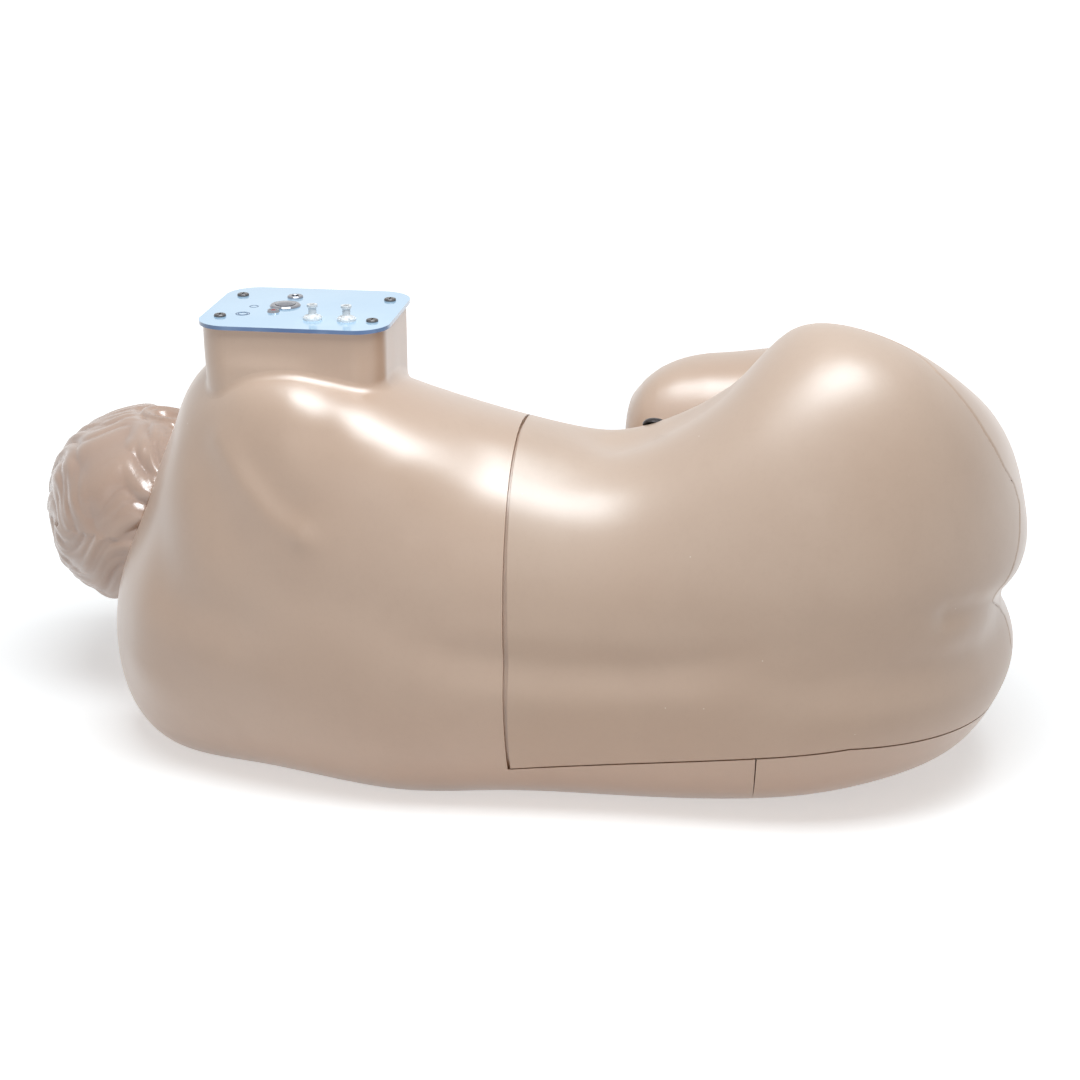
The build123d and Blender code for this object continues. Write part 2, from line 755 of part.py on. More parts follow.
with BuildPart() as battery_pack:
    with BuildSketch(Plane.YZ.offset(panel_x - battery_length / 2)):
        with Locations((panel_y + battery_y, panel_top - box_floor + battery_cell_radius)):
            SlotCenterToCenter(2 * battery_cell_radius, 2 * battery_cell_radius)
    extrude(amount=battery_length)

pump_axis_z = panel_top - box_floor + pump_head_width / 2

with BuildPart() as pump_motor:
    with BuildSketch(Plane.YZ.offset(panel_x + pump_x)):
        with Locations((panel_y + pump_y, pump_axis_z)):
            Circle(pump_motor_radius)
    extrude(amount=pump_motor_length)
    chamfer(pump_motor.edges().group_by(Axis.X)[0], 1.5)

with BuildPart() as pump_head:
    with BuildSketch(Plane.YZ.offset(panel_x + pump_head_x)):
        with Locations((panel_y + pump_y, pump_axis_z)):
            RectangleRounded(pump_head_width, pump_head_width, 3)
    extrude(amount=pump_head_length)
    with BuildSketch(across_stump(box_floor - pump_head_width)):
        with Locations((pump_head_x + pump_head_length / 2, pump_y)):
            with GridLocations(pump_port_pitch, 0, 2, 1):
                Circle(luer_barb_radius)
    extrude(amount=pump_port_length)

spigot_spots = [luer_spots[0], feed_spot]

with BuildPart() as reservoir:
    with BuildSketch(across_stump(panel_thickness + box_depth)):
        with Locations((reservoir_x, 0)):
            RectangleRounded(reservoir_length - 16, reservoir_width, 10)
    extrude(amount=-reservoir_height)
    fillet(reservoir.edges().group_by(Axis.Z)[0], 6)
    with BuildSketch(across_stump(panel_thickness + box_depth + reservoir_wall)):
        with Locations((reservoir_x, 0)):
            RectangleRounded(reservoir_length - 16 - 2 * reservoir_wall,
                             reservoir_width - 2 * reservoir_wall, 10 - reservoir_wall)
    extrude(amount=2 * reservoir_wall - reservoir_height, mode=Mode.SUBTRACT)
    with BuildSketch(across_stump(panel_thickness + box_depth)):
        with Locations(*spigot_spots):
            Circle(luer_barb_radius)
    extrude(amount=luer_barb_length)
    with BuildSketch(across_stump(panel_thickness + box_depth - luer_barb_length)):
        with Locations(*spigot_spots):
            Circle(luer_lumen)
    extrude(amount=-luer_barb_length - reservoir_wall, mode=Mode.SUBTRACT)

with BuildPart() as fill_tube:
    with BuildSketch(across_stump(luer_stem_length)):
        with Locations(luer_spots[0]):
            Circle(tube_radius)
            Circle(tube_bore, mode=Mode.SUBTRACT)
    extrude(amount=luer_stem_length - panel_thickness - box_depth)


def spot_point(spot, depth):
    return (panel_x + spot[0], panel_y + spot[1], panel_top - depth)


def hollow_tube(points, radii):
    """A tube that runs straight between its points, with a round bend at each of them."""
    with BuildPart() as tube:
        with BuildLine():
            route = FilletPolyline(*points, radius=radii)
        start = Plane(origin=route @ 0, z_dir=route % 0)
        with BuildSketch(start):
            Circle(tube_radius)
            Circle(tube_bore, mode=Mode.SUBTRACT)
        sweep(path=route)
    return tube.part


pump_top = box_floor - pump_head_width
pump_middle_x = pump_head_x + pump_head_length / 2
inlet_spot = (pump_middle_x - pump_port_pitch / 2, pump_y)
outlet_spot = (pump_middle_x + pump_port_pitch / 2, pump_y)
over_depth = 20.0

with BuildPart() as feed_tube:
    add(hollow_tube([spot_point(feed_spot, panel_thickness + box_depth),
                     spot_point(feed_spot, over_depth), spot_point(inlet_spot, over_depth),
                     spot_point(inlet_spot, pump_top)], 9))

fitting_face_x = tray_left - fitting_flange
port_end_x = fitting_face_x - luer_barb_length
supply_z = spine_z + fitting_port_pitch / 2
return_z = spine_z - fitting_port_pitch / 2

with BuildPart() as supply_tube:
    add(hollow_tube([spot_point(outlet_spot, pump_top), spot_point(outlet_spot, over_depth),
                     spot_point(supply_spot, over_depth), spot_point(supply_spot, 175),
                     (panel_x + 80, canal_y, supply_z), (fitting_face_x, canal_y, supply_z)],
                    [9, 9, 30, 40]))

with BuildPart() as return_tube:
    add(hollow_tube([spot_point(luer_spots[1], luer_stem_length),
                     spot_point(luer_spots[1], panel_top - return_z),
                     (panel_x + 100, canal_y, return_z), (fitting_face_x, canal_y, return_z)],
                    [30, 40]))


def lead(points, radius):
    """A thin two-core lead inside the control box."""
    with BuildPart() as wire:
        with BuildLine():
            route = FilletPolyline(*points, radius=radius)
        with BuildSketch(Plane(origin=route @ 0, z_dir=route % 0)):
            Circle(lead_radius)
        sweep(path=route)
    return wire.part


with BuildPart() as panel_leads:
    for spot, depth, end in (((button_x, button_y), button_body_length, (board_x - 12, board_y - 4)),
                             ((lamp_x, lamp_y), lamp_length, (board_x - 22, board_y - 12)),
                             ((jack_x, jack_y), jack_length, (board_x - 14, board_y + 8))):
        middle = (depth + board_top) / 2
        add(lead([spot_point(spot, depth), spot_point(spot, middle), spot_point(end, middle),
                  spot_point(end, board_top)], 2.4))

battery_end = (board_x + battery_length / 2, battery_y)
battery_board = (battery_end[0] + 5, battery_y)

with BuildPart() as battery_lead:
    add(lead([spot_point(battery_end, box_floor - battery_cell_radius),
              spot_point(battery_board, box_floor - battery_cell_radius),
              spot_point(battery_board, box_floor - board_lift)], 3))

# Lumbar module

tray_inner_y = vertebra_front_y + seat_gap
tray_plane = Plane.XZ.offset(-ledge_y)
flange_y = ledge_y - tray_flange_thickness
tray_depth = tray_inner_y + tray_wall - ledge_y
tray_mid_x = (tray_inner_left + tray_inner_right) / 2
dura_bore = dura_radius - dura_wall
fitting_radius = dura_bore - tube_slip
fitting_disc = fitting_port_pitch / 2 + tube_radius + 0.5

with BuildPart() as module_tray:
    with BuildSketch(tray_plane):
        with Locations((module_mid_x, spine_z)):
            RectangleRounded(module_right_x - module_left_x, 2 * module_half_height, module_corner)
            with GridLocations(tray_screw_pitch_x, tray_screw_pitch_z, 3, 2):
                Circle(tray_screw_radius + hole_gap, mode=Mode.SUBTRACT)
    extrude(amount=tray_flange_thickness)
    with BuildSketch(tray_plane):
        with Locations((tray_mid_x, spine_z)):
            RectangleRounded(tray_right - tray_left, 2 * (tray_half_width + tray_wall), 4)
    extrude(amount=-tray_depth)
    with BuildSketch(tray_plane.offset(tray_flange_thickness)):
        with Locations((tray_mid_x, spine_z)):
            Rectangle(module_length, 2 * tray_half_width)
    extrude(amount=tray_wall - tray_depth - tray_flange_thickness, mode=Mode.SUBTRACT)
    with BuildSketch(Plane.YZ.offset(tray_left)):
        with Locations((canal_y, spine_z)):
            Circle(fitting_radius + seat_gap)
    extrude(amount=tray_wall, mode=Mode.SUBTRACT)

with BuildPart() as tray_screws:
    with BuildSketch(Plane.XZ.offset(-flange_y)):
        with Locations((module_mid_x, spine_z)):
            with GridLocations(tray_screw_pitch_x, tray_screw_pitch_z, 3, 2):
                Circle(1.8 * tray_screw_radius)
    extrude(amount=1.3)
    with BuildSketch(Plane.XZ.offset(-flange_y)):
        with Locations((module_mid_x, spine_z)):
            with GridLocations(tray_screw_pitch_x, tray_screw_pitch_z, 3, 2):
                Circle(tray_screw_radius)
    extrude(amount=-tray_flange_thickness - ledge_thickness)

vertebra_mid_y = vertebra_front_y - vertebra_depth / 2
arch_height = 17.0
lamina_y = canal_y - canal_half_depth - arch_wall
process_root = 3.0
spinous_thickness = 7.0
facet_y = canal_y - 5
facet_z = canal_half_width + 4


def bone_body(left_x, height, waist):
    """A vertebral body, drawn in at its waist between two flat end plates."""
    with BuildPart() as body:
        for share, swell in ((0, 1.0), (0.5, waist), (1, 1.0)):
            with BuildSketch(Plane.YZ.offset(left_x + share * height)):
                with Locations((vertebra_mid_y, spine_z)):
                    Ellipse(vertebra_depth / 2 * swell, vertebra_half_width * swell)
        loft()
    return body.part


def vertebra(left_x):
    """One lumbar vertebra: body, arch round the canal, spinous, transverse and joint processes."""
    middle = left_x + vertebra_height / 2
    with BuildPart() as bone:
        add(bone_body(left_x, vertebra_height, 0.87))
        with BuildSketch(Plane.YZ.offset(middle - arch_height / 2)):
            with Locations((canal_y, spine_z)):
                Ellipse(canal_half_depth + arch_wall, canal_half_width + arch_wall)
        extrude(amount=arch_height)
        for away, length, width in ((-process_root, 13, spinous_thickness - 1.5),
                                    (8, 15, spinous_thickness - 1.5),
                                    (lamina_y - spine_tip_y, 21, spinous_thickness)):
            with BuildSketch(Plane.XZ.offset(away - lamina_y)):
                with Locations((middle + 2 + away * 0.08, spine_z)):
                    RectangleRounded(length, width, width / 2 - 0.2)
        loft()
        for side in (-1, 1):
            root_z = spine_z + side * canal_half_width
            for away, size_x, size_y in ((0, 6.5, 4.5), (14, 4.0, 3.0),
                                         (transverse_reach - canal_half_width, 4.8, 3.0)):
                with BuildSketch(Plane.XY.offset(root_z + side * away)):
                    with Locations((middle - 2, canal_y + 3 - away * 0.12)):
                        Ellipse(size_x, size_y)
            loft()
            with BuildSketch(Plane.YZ.offset(middle - arch_height / 2 - 4)):
                with Locations((facet_y, spine_z + side * facet_z)):
                    Ellipse(4.5, 3.6)
            extrude(amount=arch_height + 9)
            with BuildSketch(Plane.YZ.offset(middle + arch_height / 2)):
                with Locations((facet_y - 1, spine_z + side * (facet_z - 3))):
                    Ellipse(3.6, 3.2)
            extrude(amount=8)
        with BuildSketch(Plane.YZ.offset(left_x - 1)):
            with Locations((canal_y, spine_z)):
                Ellipse(canal_half_depth, canal_half_width)
        extrude(amount=vertebra_height + 14, mode=Mode.SUBTRACT)
    return bone.part


vertebra_pitch = vertebra_height + disc_height
vertebra_names = ["vertebra_l2", "vertebra_l3", "vertebra_l4", "vertebra_l5"]
for place, name in enumerate(vertebra_names):
    with BuildPart() as spine_bone:
        add(vertebra(tray_inner_left + place * vertebra_pitch))
    spine_bone.part.label = name
    export_step(spine_bone.part, "parts/" + name + ".step")

with BuildPart() as spinal_discs:
    for place in range(len(vertebra_names)):
        start_x = tray_inner_left + place * vertebra_pitch + vertebra_height
        with BuildSketch(Plane.YZ.offset(start_x)):
            with Locations((vertebra_mid_y, spine_z)):
                Ellipse(vertebra_depth / 2 - 0.8, vertebra_half_width - 0.8)
        extrude(amount=disc_height)

sacrum_x = tray_inner_right - sacral_block_length

with BuildPart() as sacral_block:
    with BuildSketch(Plane.YZ.offset(sacrum_x)):
        with Locations((vertebra_mid_y, spine_z)):
            Ellipse(vertebra_depth / 2, vertebra_half_width)
        with Locations((vertebra_mid_y - 10, spine_z)):
            SlotOverall(2 * (transverse_reach + 4), 20, rotation=90)
        with Locations((canal_y, spine_z)):
            Ellipse(canal_half_depth + arch_wall, canal_half_width + arch_wall)
        with Locations(((lamina_y + spine_tip_y) / 2 + 6, spine_z)):
            Rectangle(lamina_y - spine_tip_y - 6, spinous_thickness)
        with Locations((canal_y, spine_z)):
            Ellipse(canal_half_depth, canal_half_width, mode=Mode.SUBTRACT)
    extrude(amount=sacral_block_length)

with BuildPart() as ligament_strip:
    with BuildSketch(Plane.XZ.offset(-spine_tip_y)):
        with Locations((tray_mid_x - 8, spine_z)):
            SlotOverall(module_length - 20, spinous_thickness - 1)
    extrude(amount=1.5)

dura_start = tray_inner_left + fitting_flange
dura_end = tray_inner_right - fitting_flange

with BuildPart() as dura_tube:
    with BuildSketch(Plane.YZ.offset(dura_start)):
        with Locations((canal_y, spine_z)):
            Circle(dura_radius)
            Circle(dura_bore, mode=Mode.SUBTRACT)
    extrude(amount=dura_end - dura_start)

with BuildPart() as canal_fitting:
    with BuildSketch(Plane.YZ.offset(fitting_face_x)):
        with Locations((canal_y, spine_z)):
            Circle(fitting_disc)
    extrude(amount=fitting_flange)
    with BuildSketch(Plane.YZ.offset(tray_left)):
        with Locations((canal_y, spine_z)):
            Circle(fitting_radius)
    extrude(amount=tray_wall + fitting_flange + fitting_grip)
    with BuildSketch(Plane.YZ.offset(tray_inner_left)):
        with Locations((canal_y, spine_z)):
            Circle(dura_radius)
    extrude(amount=fitting_flange)
    with BuildSketch(Plane.YZ.offset(port_end_x)):
        with Locations((canal_y, supply_z), (canal_y, return_z)):
            Circle(luer_barb_radius)
    extrude(amount=luer_barb_length)
    with BuildSketch(Plane.YZ.offset(port_end_x)):
        with Locations((canal_y, supply_z), (canal_y, return_z)):
            Circle(luer_lumen)
    extrude(amount=reach / 4, mode=Mode.SUBTRACT)

with BuildPart() as canal_plug:
    with BuildSketch(Plane.YZ.offset(tray_inner_right)):
        with Locations((canal_y, spine_z)):
            Circle(dura_radius)
    extrude(amount=-fitting_flange)
    with BuildSketch(Plane.YZ.offset(tray_inner_right)):
        with Locations((canal_y, spine_z)):
            Circle(fitting_radius)
    extrude(amount=-fitting_flange - fitting_grip)

block_slot = 12.0
block_floor_y = -70.0
block_gap = 0.5

with BuildPart() as puncture_block:
    add(module_block(flange_y, -reach / 4, -block_gap))
    add(under_skin_form, mode=Mode.INTERSECT)
    with BuildSketch(Plane.XZ.offset(-flange_y)):
        with Locations((tray_mid_x, spine_z)):
            Rectangle(module_length - 2 * block_gap, 2 * (tray_half_width - block_gap))
    extrude(amount=flange_y - block_floor_y)
    with BuildSketch(Plane.XZ.offset(-block_floor_y)):
        with Locations((tray_mid_x, spine_z)):
            Rectangle(module_length, 2 * block_slot)
    extrude(amount=block_floor_y - spine_tip_y + 1.7, mode=Mode.SUBTRACT)
    with BuildSketch(Plane.XZ.offset(-flange_y)):
        with Locations((module_mid_x, spine_z)):
            with GridLocations(tray_screw_pitch_x, tray_screw_pitch_z, 3, 2):
                Circle(1.8 * tray_screw_radius + block_gap)
    extrude(amount=1.6, mode=Mode.SUBTRACT)

# Press stud: cap and socket on the skin, stud on the shell


def on_snap(depth):
    return snap_plane.offset(-depth)


with BuildPart() as snap_cap:
    with BuildSketch(on_snap(0)):
        Circle(snap_cap_radius)
    extrude(amount=snap_cap_height * 0.3)
    with BuildSketch(on_snap(-snap_cap_height * 0.3)):
        Circle(snap_cap_radius)
    with BuildSketch(on_snap(-snap_cap_height * 0.75)):
        Circle(snap_cap_radius * 0.82)
    with BuildSketch(on_snap(-snap_cap_height)):
        Circle(snap_cap_radius * 0.45)
    loft()
    with BuildSketch(on_snap(0)):
        Circle(snap_shank_radius)
    extrude(amount=-snap_grip - 0.8)

with BuildPart() as snap_socket:
    with BuildSketch(on_snap(snap_grip)):
        Circle(snap_socket_radius)
        Circle(snap_shank_radius + seat_gap, mode=Mode.SUBTRACT)
    extrude(amount=-snap_socket_height)
    with BuildSketch(on_snap(snap_grip + 1.0)):
        Circle(snap_stud_radius + seat_gap)
    extrude(amount=-snap_socket_height, mode=Mode.SUBTRACT)

with BuildPart() as snap_stud:
    with BuildSketch(on_snap(snap_floor)):
        Circle(snap_socket_radius - 1)
    extrude(amount=snap_base_height)
    with BuildSketch(on_snap(snap_floor)):
        Circle(snap_stud_radius)
    extrude(amount=snap_floor - snap_grip - 1.2)
    with BuildSketch(on_snap(snap_floor)):
        Circle(snap_shank_radius)
    extrude(amount=snap_floor - snap_boss_depth + 1)

# Head: lofted from ear to ear, with a neck that stands on the shoulders' flat neck face

head_plane = Plane(origin=(head_x, head_y, head_z),
                   x_dir=(sin(radians(head_pitch)), cos(radians(head_pitch)), 0), z_dir=(0, 0, 1))
# Each point: forwards, towards the crown, how far it stands out at the middle, and how wide
head_profile = [(0, 88, 0, 1), (42, 80, 0, 1), (74, 58, 0, 1), (89, 26, 0, 1), (91, -4, 2, 30),
                (80, -24, 8, 12), (82, -46, 20, 11), (84, -61, 28, 12), (86, -68, 10, 12),
                (90, -79, 10, 24), (88, -86, 6, 24), (87, -93, 9, 24), (83, -104, 6, 24),
                (82, -120, 12, 30), (72, -134, 10, 30), (46, -124, 0, 1), (18, -106, 0, 1),
                (-34, -98, 0, 1), (-70, -78, 0, 1), (-90, -44, 0, 1), (-98, 0, 0, 1),
                (-88, 44, 0, 1), (-50, 78, 0, 1)]
head_slices = [-75.5, -72, -64, -52, -38, -25, -12, 0, 12, 25, 38, 52, 64, 72, 75.5]


def head_form(swell):
    """The head's skin surface, or the same surface swelled outwards for the hair."""
    with BuildPart() as form:
        for height in head_slices:
            share = abs(height) / head_half_breadth
            skull = (1 - share ** 2.5) ** (1 / 2.5)
            jaw = (1 - share ** 1.9) ** (1 / 1.9)
            outline = []
            for forward, crown, stand, width in head_profile:
                bulge = stand * exp(-((height / width) ** 2))
                face = skull if forward < 0 else 0.35 * skull + 0.65 * jaw
                rise = skull if crown > 0 else 0.4 * skull + 0.6 * jaw
                growth = 1 + swell / 90
                outline.append(((forward * face + bulge) * growth, crown * rise * growth))
            with BuildSketch(head_plane.offset(height * (1 + swell / head_half_breadth))):
                with BuildLine():
                    Spline(*outline, periodic=True)
                make_face()
        loft()
    return form.part


neck_end_ring = Ring(-334, 150, 168, -30, 0.1, 52, 50, 55, 55, fullness=2.0)
hairline = [(-140, -66), (-62, -50), (-26, -30), (-20, 6), (2, 26), (34, 24), (62, 52), (78, 70),
            (140, 150), (-140, 150)]

with BuildPart() as bare_head:
    add(head_form(0))
    for side in (-1, 1):
        for stand, share in ((-20, 0.8), (0, 1.0), (ear_stand, 0.8)):
            with BuildSketch(head_plane.offset(side * (head_half_breadth + stand))):
                with Locations(Location(ear_spot, ear_lean)):
                    Ellipse(share * ear_half_width, share * ear_half_length)
        loft(ruled=True)
        for stand, share in ((0, 0.3), (ear_stand + 1, 0.6)):
            with BuildSketch(head_plane.offset(side * (head_half_breadth + stand))):
                with Locations(Location(ear_spot, ear_lean)):
                    Ellipse(share * ear_half_width, share * ear_half_length)
        loft(mode=Mode.SUBTRACT)
    with BuildSketch(neck_ring.plane()):
        with BuildLine():
            Spline(*neck_ring.points(0), periodic=True)
        make_face()
    with BuildSketch(neck_end_ring.plane()):
        with BuildLine():
            Spline(*neck_end_ring.points(0), periodic=True)
        make_face()
    loft()
    add(outer_form, mode=Mode.SUBTRACT)

with BuildPart() as hair_region:
    with BuildSketch(head_plane.offset(-2 * head_half_breadth)):
        with BuildLine():
            Polyline(*hairline, close=True)
        make_face()
    extrude(amount=4 * head_half_breadth)

with BuildPart() as hair:
    add(head_form(hair_lift))
    add(hair_region.part, mode=Mode.INTERSECT)
    add(outer_form, mode=Mode.SUBTRACT)

with BuildPart() as head:
    add(bare_head.part)
    add(hair.part)

# Export

torso_shell.part.label = "torso_shell"
export_step(torso_shell.part, "parts/torso_shell.step")
pelvis_shell.part.label = "pelvis_shell"
export_step(pelvis_shell.part, "parts/pelvis_shell.step")
head.part.label = "head"
export_step(head.part, "parts/head.step")
lumbar_skin.part.label = "lumbar_skin"
export_step(lumbar_skin.part, "parts/lumbar_skin.step")
control_panel.part.label = "control_panel"
export_step(control_panel.part, "parts/control_panel.step")
panel_screws.part.label = "panel_screws"
export_step(panel_screws.part, "parts/panel_screws.step")
luer_inlet.part.label = "luer_inlet"
export_step(luer_inlet.part, "parts/luer_inlet.step")
luer_outlet.part.label = "luer_outlet"
export_step(luer_outlet.part, "parts/luer_outlet.step")
luer_nuts.part.label = "luer_nuts"
export_step(luer_nuts.part, "parts/luer_nuts.step")
button_housing.part.label = "button_housing"
export_step(button_housing.part, "parts/button_housing.step")
button_cap.part.label = "button_cap"
export_step(button_cap.part, "parts/button_cap.step")
button_nut.part.label = "button_nut"
export_step(button_nut.part, "parts/button_nut.step")
lamp_bezel.part.label = "lamp_bezel"
export_step(lamp_bezel.part, "parts/lamp_bezel.step")
lamp_lens.part.label = "lamp_lens"
export_step(lamp_lens.part, "parts/lamp_lens.step")
lamp_nut.part.label = "lamp_nut"
export_step(lamp_nut.part, "parts/lamp_nut.step")
charge_jack.part.label = "charge_jack"
export_step(charge_jack.part, "parts/charge_jack.step")
jack_nut.part.label = "jack_nut"
export_step(jack_nut.part, "parts/jack_nut.step")
control_box.part.label = "control_box"
export_step(control_box.part, "parts/control_box.step")
circuit_board.part.label = "circuit_board"
export_step(circuit_board.part, "parts/circuit_board.step")
board_screws.part.label = "board_screws"
export_step(board_screws.part, "parts/board_screws.step")
battery_pack.part.label = "battery_pack"
export_step(battery_pack.part, "parts/battery_pack.step")
pump_motor.part.label = "pump_motor"
export_step(pump_motor.part, "parts/pump_motor.step")
pump_head.part.label = "pump_head"
export_step(pump_head.part, "parts/pump_head.step")
reservoir.part.label = "reservoir"
export_step(reservoir.part, "parts/reservoir.step")
fill_tube.part.label = "fill_tube"
export_step(fill_tube.part, "parts/fill_tube.step")
feed_tube.part.label = "feed_tube"
export_step(feed_tube.part, "parts/feed_tube.step")
supply_tube.part.label = "supply_tube"
export_step(supply_tube.part, "parts/supply_tube.step")
return_tube.part.label = "return_tube"
export_step(return_tube.part, "parts/return_tube.step")
panel_leads.part.label = "panel_leads"
export_step(panel_leads.part, "parts/panel_leads.step")
battery_lead.part.label = "battery_lead"
export_step(battery_lead.part, "parts/battery_lead.step")
module_tray.part.label = "module_tray"
export_step(module_tray.part, "parts/module_tray.step")
tray_screws.part.label = "tray_screws"
export_step(tray_screws.part, "parts/tray_screws.step")
spinal_discs.part.label = "spinal_discs"
export_step(spinal_discs.part, "parts/spinal_discs.step")
sacral_block.part.label = "sacral_block"
export_step(sacral_block.part, "parts/sacral_block.step")
ligament_strip.part.label = "ligament_strip"
export_step(ligament_strip.part, "parts/ligament_strip.step")
dura_tube.part.label = "dura_tube"
export_step(dura_tube.part, "parts/dura_tube.step")
canal_fitting.part.label = "canal_fitting"
export_step(canal_fitting.part, "parts/canal_fitting.step")
canal_plug.part.label = "canal_plug"
export_step(canal_plug.part, "parts/canal_plug.step")
puncture_block.part.label = "puncture_block"
export_step(puncture_block.part, "parts/puncture_block.step")
snap_cap.part.label = "snap_cap"
export_step(snap_cap.part, "parts/snap_cap.step")
snap_socket.part.label = "snap_socket"
export_step(snap_socket.part, "parts/snap_socket.step")
snap_stud.part.label = "snap_stud"
export_step(snap_stud.part, "parts/snap_stud.step")
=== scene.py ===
import json
import math
import bpy
import numpy as np
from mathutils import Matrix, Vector

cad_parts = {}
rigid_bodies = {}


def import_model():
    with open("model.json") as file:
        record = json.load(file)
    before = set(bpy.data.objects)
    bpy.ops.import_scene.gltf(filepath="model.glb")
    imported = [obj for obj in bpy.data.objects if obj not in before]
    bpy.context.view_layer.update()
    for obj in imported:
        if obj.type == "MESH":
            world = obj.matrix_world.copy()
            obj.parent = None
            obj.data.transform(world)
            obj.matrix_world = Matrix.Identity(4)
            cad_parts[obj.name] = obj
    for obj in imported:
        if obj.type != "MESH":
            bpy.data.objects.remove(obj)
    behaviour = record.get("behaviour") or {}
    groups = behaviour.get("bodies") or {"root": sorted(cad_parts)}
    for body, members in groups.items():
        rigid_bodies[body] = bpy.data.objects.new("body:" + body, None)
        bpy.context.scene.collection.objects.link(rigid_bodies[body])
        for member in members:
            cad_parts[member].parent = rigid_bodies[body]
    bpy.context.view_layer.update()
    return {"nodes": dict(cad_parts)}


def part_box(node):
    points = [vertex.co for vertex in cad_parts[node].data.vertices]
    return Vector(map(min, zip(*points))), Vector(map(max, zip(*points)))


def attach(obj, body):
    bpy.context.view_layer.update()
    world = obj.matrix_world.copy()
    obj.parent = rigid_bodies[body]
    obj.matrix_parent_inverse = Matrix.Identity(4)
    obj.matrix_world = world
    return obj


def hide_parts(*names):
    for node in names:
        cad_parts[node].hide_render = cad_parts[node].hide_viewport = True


for leftover in list(bpy.data.objects):
    bpy.data.objects.remove(leftover)
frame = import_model()
nodes = frame["nodes"]
scene = bpy.context.scene


# Materials

def linear(red, green, blue):
    """A colour written as on a screen, 0 to 255, as the linear colour that a shader takes."""
    shares = [value / 255 for value in (red, green, blue)]
    return tuple(s / 12.92 if s <= 0.04045 else ((s + 0.055) / 1.055) ** 2.4 for s in shares) + (1.0,)


class Finish:
    """A procedural material: each call adds nodes in front of its Principled shader."""

    def __init__(self, name, **values):
        self.material = bpy.data.materials.new(name)
        self.material.use_nodes = True
        self.tree = self.material.node_tree
        self.shader = self.tree.nodes["Principled BSDF"]
        for socket, value in values.items():
            self.shader.inputs[socket.replace("_", " ")].default_value = value
        self.place = self.add("ShaderNodeTexCoord").outputs["Object"]

    def add(self, kind, **settings):
        node = self.tree.nodes.new(kind)
        for key, value in settings.items():
            setattr(node, key, value)
        return node

    def put(self, source, socket):
        self.tree.links.new(source, socket)

    def noise(self, scale, detail=3.0, roughness=0.5, stretch=None, distortion=0.0):
        place = self.place
        if stretch:
            mapping = self.add("ShaderNodeMapping")
            mapping.inputs["Scale"].default_value = stretch
            self.put(place, mapping.inputs["Vector"])
            place = mapping.outputs["Vector"]
        node = self.add("ShaderNodeTexNoise")
        node.inputs["Scale"].default_value = scale
        node.inputs["Detail"].default_value = detail
        node.inputs["Roughness"].default_value = roughness
        node.inputs["Distortion"].default_value = distortion
        self.put(place, node.inputs["Vector"])
        return node.outputs["Fac"]

    def spots(self, scale):
        node = self.add("ShaderNodeTexVoronoi", feature="F1")
        node.inputs["Scale"].default_value = scale
        self.put(self.place, node.inputs["Vector"])
        return node

    def ramp(self, value, low, high, start=0.0, end=1.0):
        """value from low to high as start to end, held outside them."""
        node = self.add("ShaderNodeMapRange")
        for socket, number in (("From Min", low), ("From Max", high), ("To Min", start), ("To Max", end)):
            node.inputs[socket].default_value = number
        self.put(value, node.inputs["Value"])
        return node.outputs["Result"]

    def maths(self, operation, first, second=None):
        node = self.add("ShaderNodeMath", operation=operation)
        for socket, value in zip(node.inputs, (first, second)):
            if isinstance(value, (int, float)):
                socket.default_value = value
            elif value is not None:
                self.put(value, socket)
        return node.outputs[0]

    def mix(self, share, first, second):
        node = self.add("ShaderNodeMix", data_type="RGBA")
        sockets = (node.inputs["Factor"], node.inputs[6], node.inputs[7])
        for socket, value in zip(sockets, (share, first, second)):
            if isinstance(value, (tuple, float, int)):
                socket.default_value = value
            else:
                self.put(value, socket)
        return node.outputs[2]

    def colour(self, value):
        self.put(value, self.shader.inputs["Base Color"])

    def rough(self, value):
        self.put(value, self.shader.inputs["Roughness"])

    def bump(self, height, depth, strength=1.0):
        """Adds relief of about that depth in metres."""
        node = self.add("ShaderNodeBump")
        node.inputs["Strength"].default_value = strength
        node.inputs["Distance"].default_value = depth
        self.put(height, node.inputs["Height"])
        before = self.shader.inputs["Normal"]
        if before.is_linked:
            self.put(before.links[0].from_socket, node.inputs["Normal"])
        self.put(node.outputs["Normal"], before)

    def attribute(self, name):
        return self.add("ShaderNodeAttribute", attribute_name=name).outputs["Fac"]

    def facing(self, axis):
        """The surface's own direction along X, Y or Z, from -1 to 1."""
        split = self.add("ShaderNodeSeparateXYZ")
        self.put(self.add("ShaderNodeNewGeometry").outputs["Normal"], split.inputs[0])
        return split.outputs[axis]


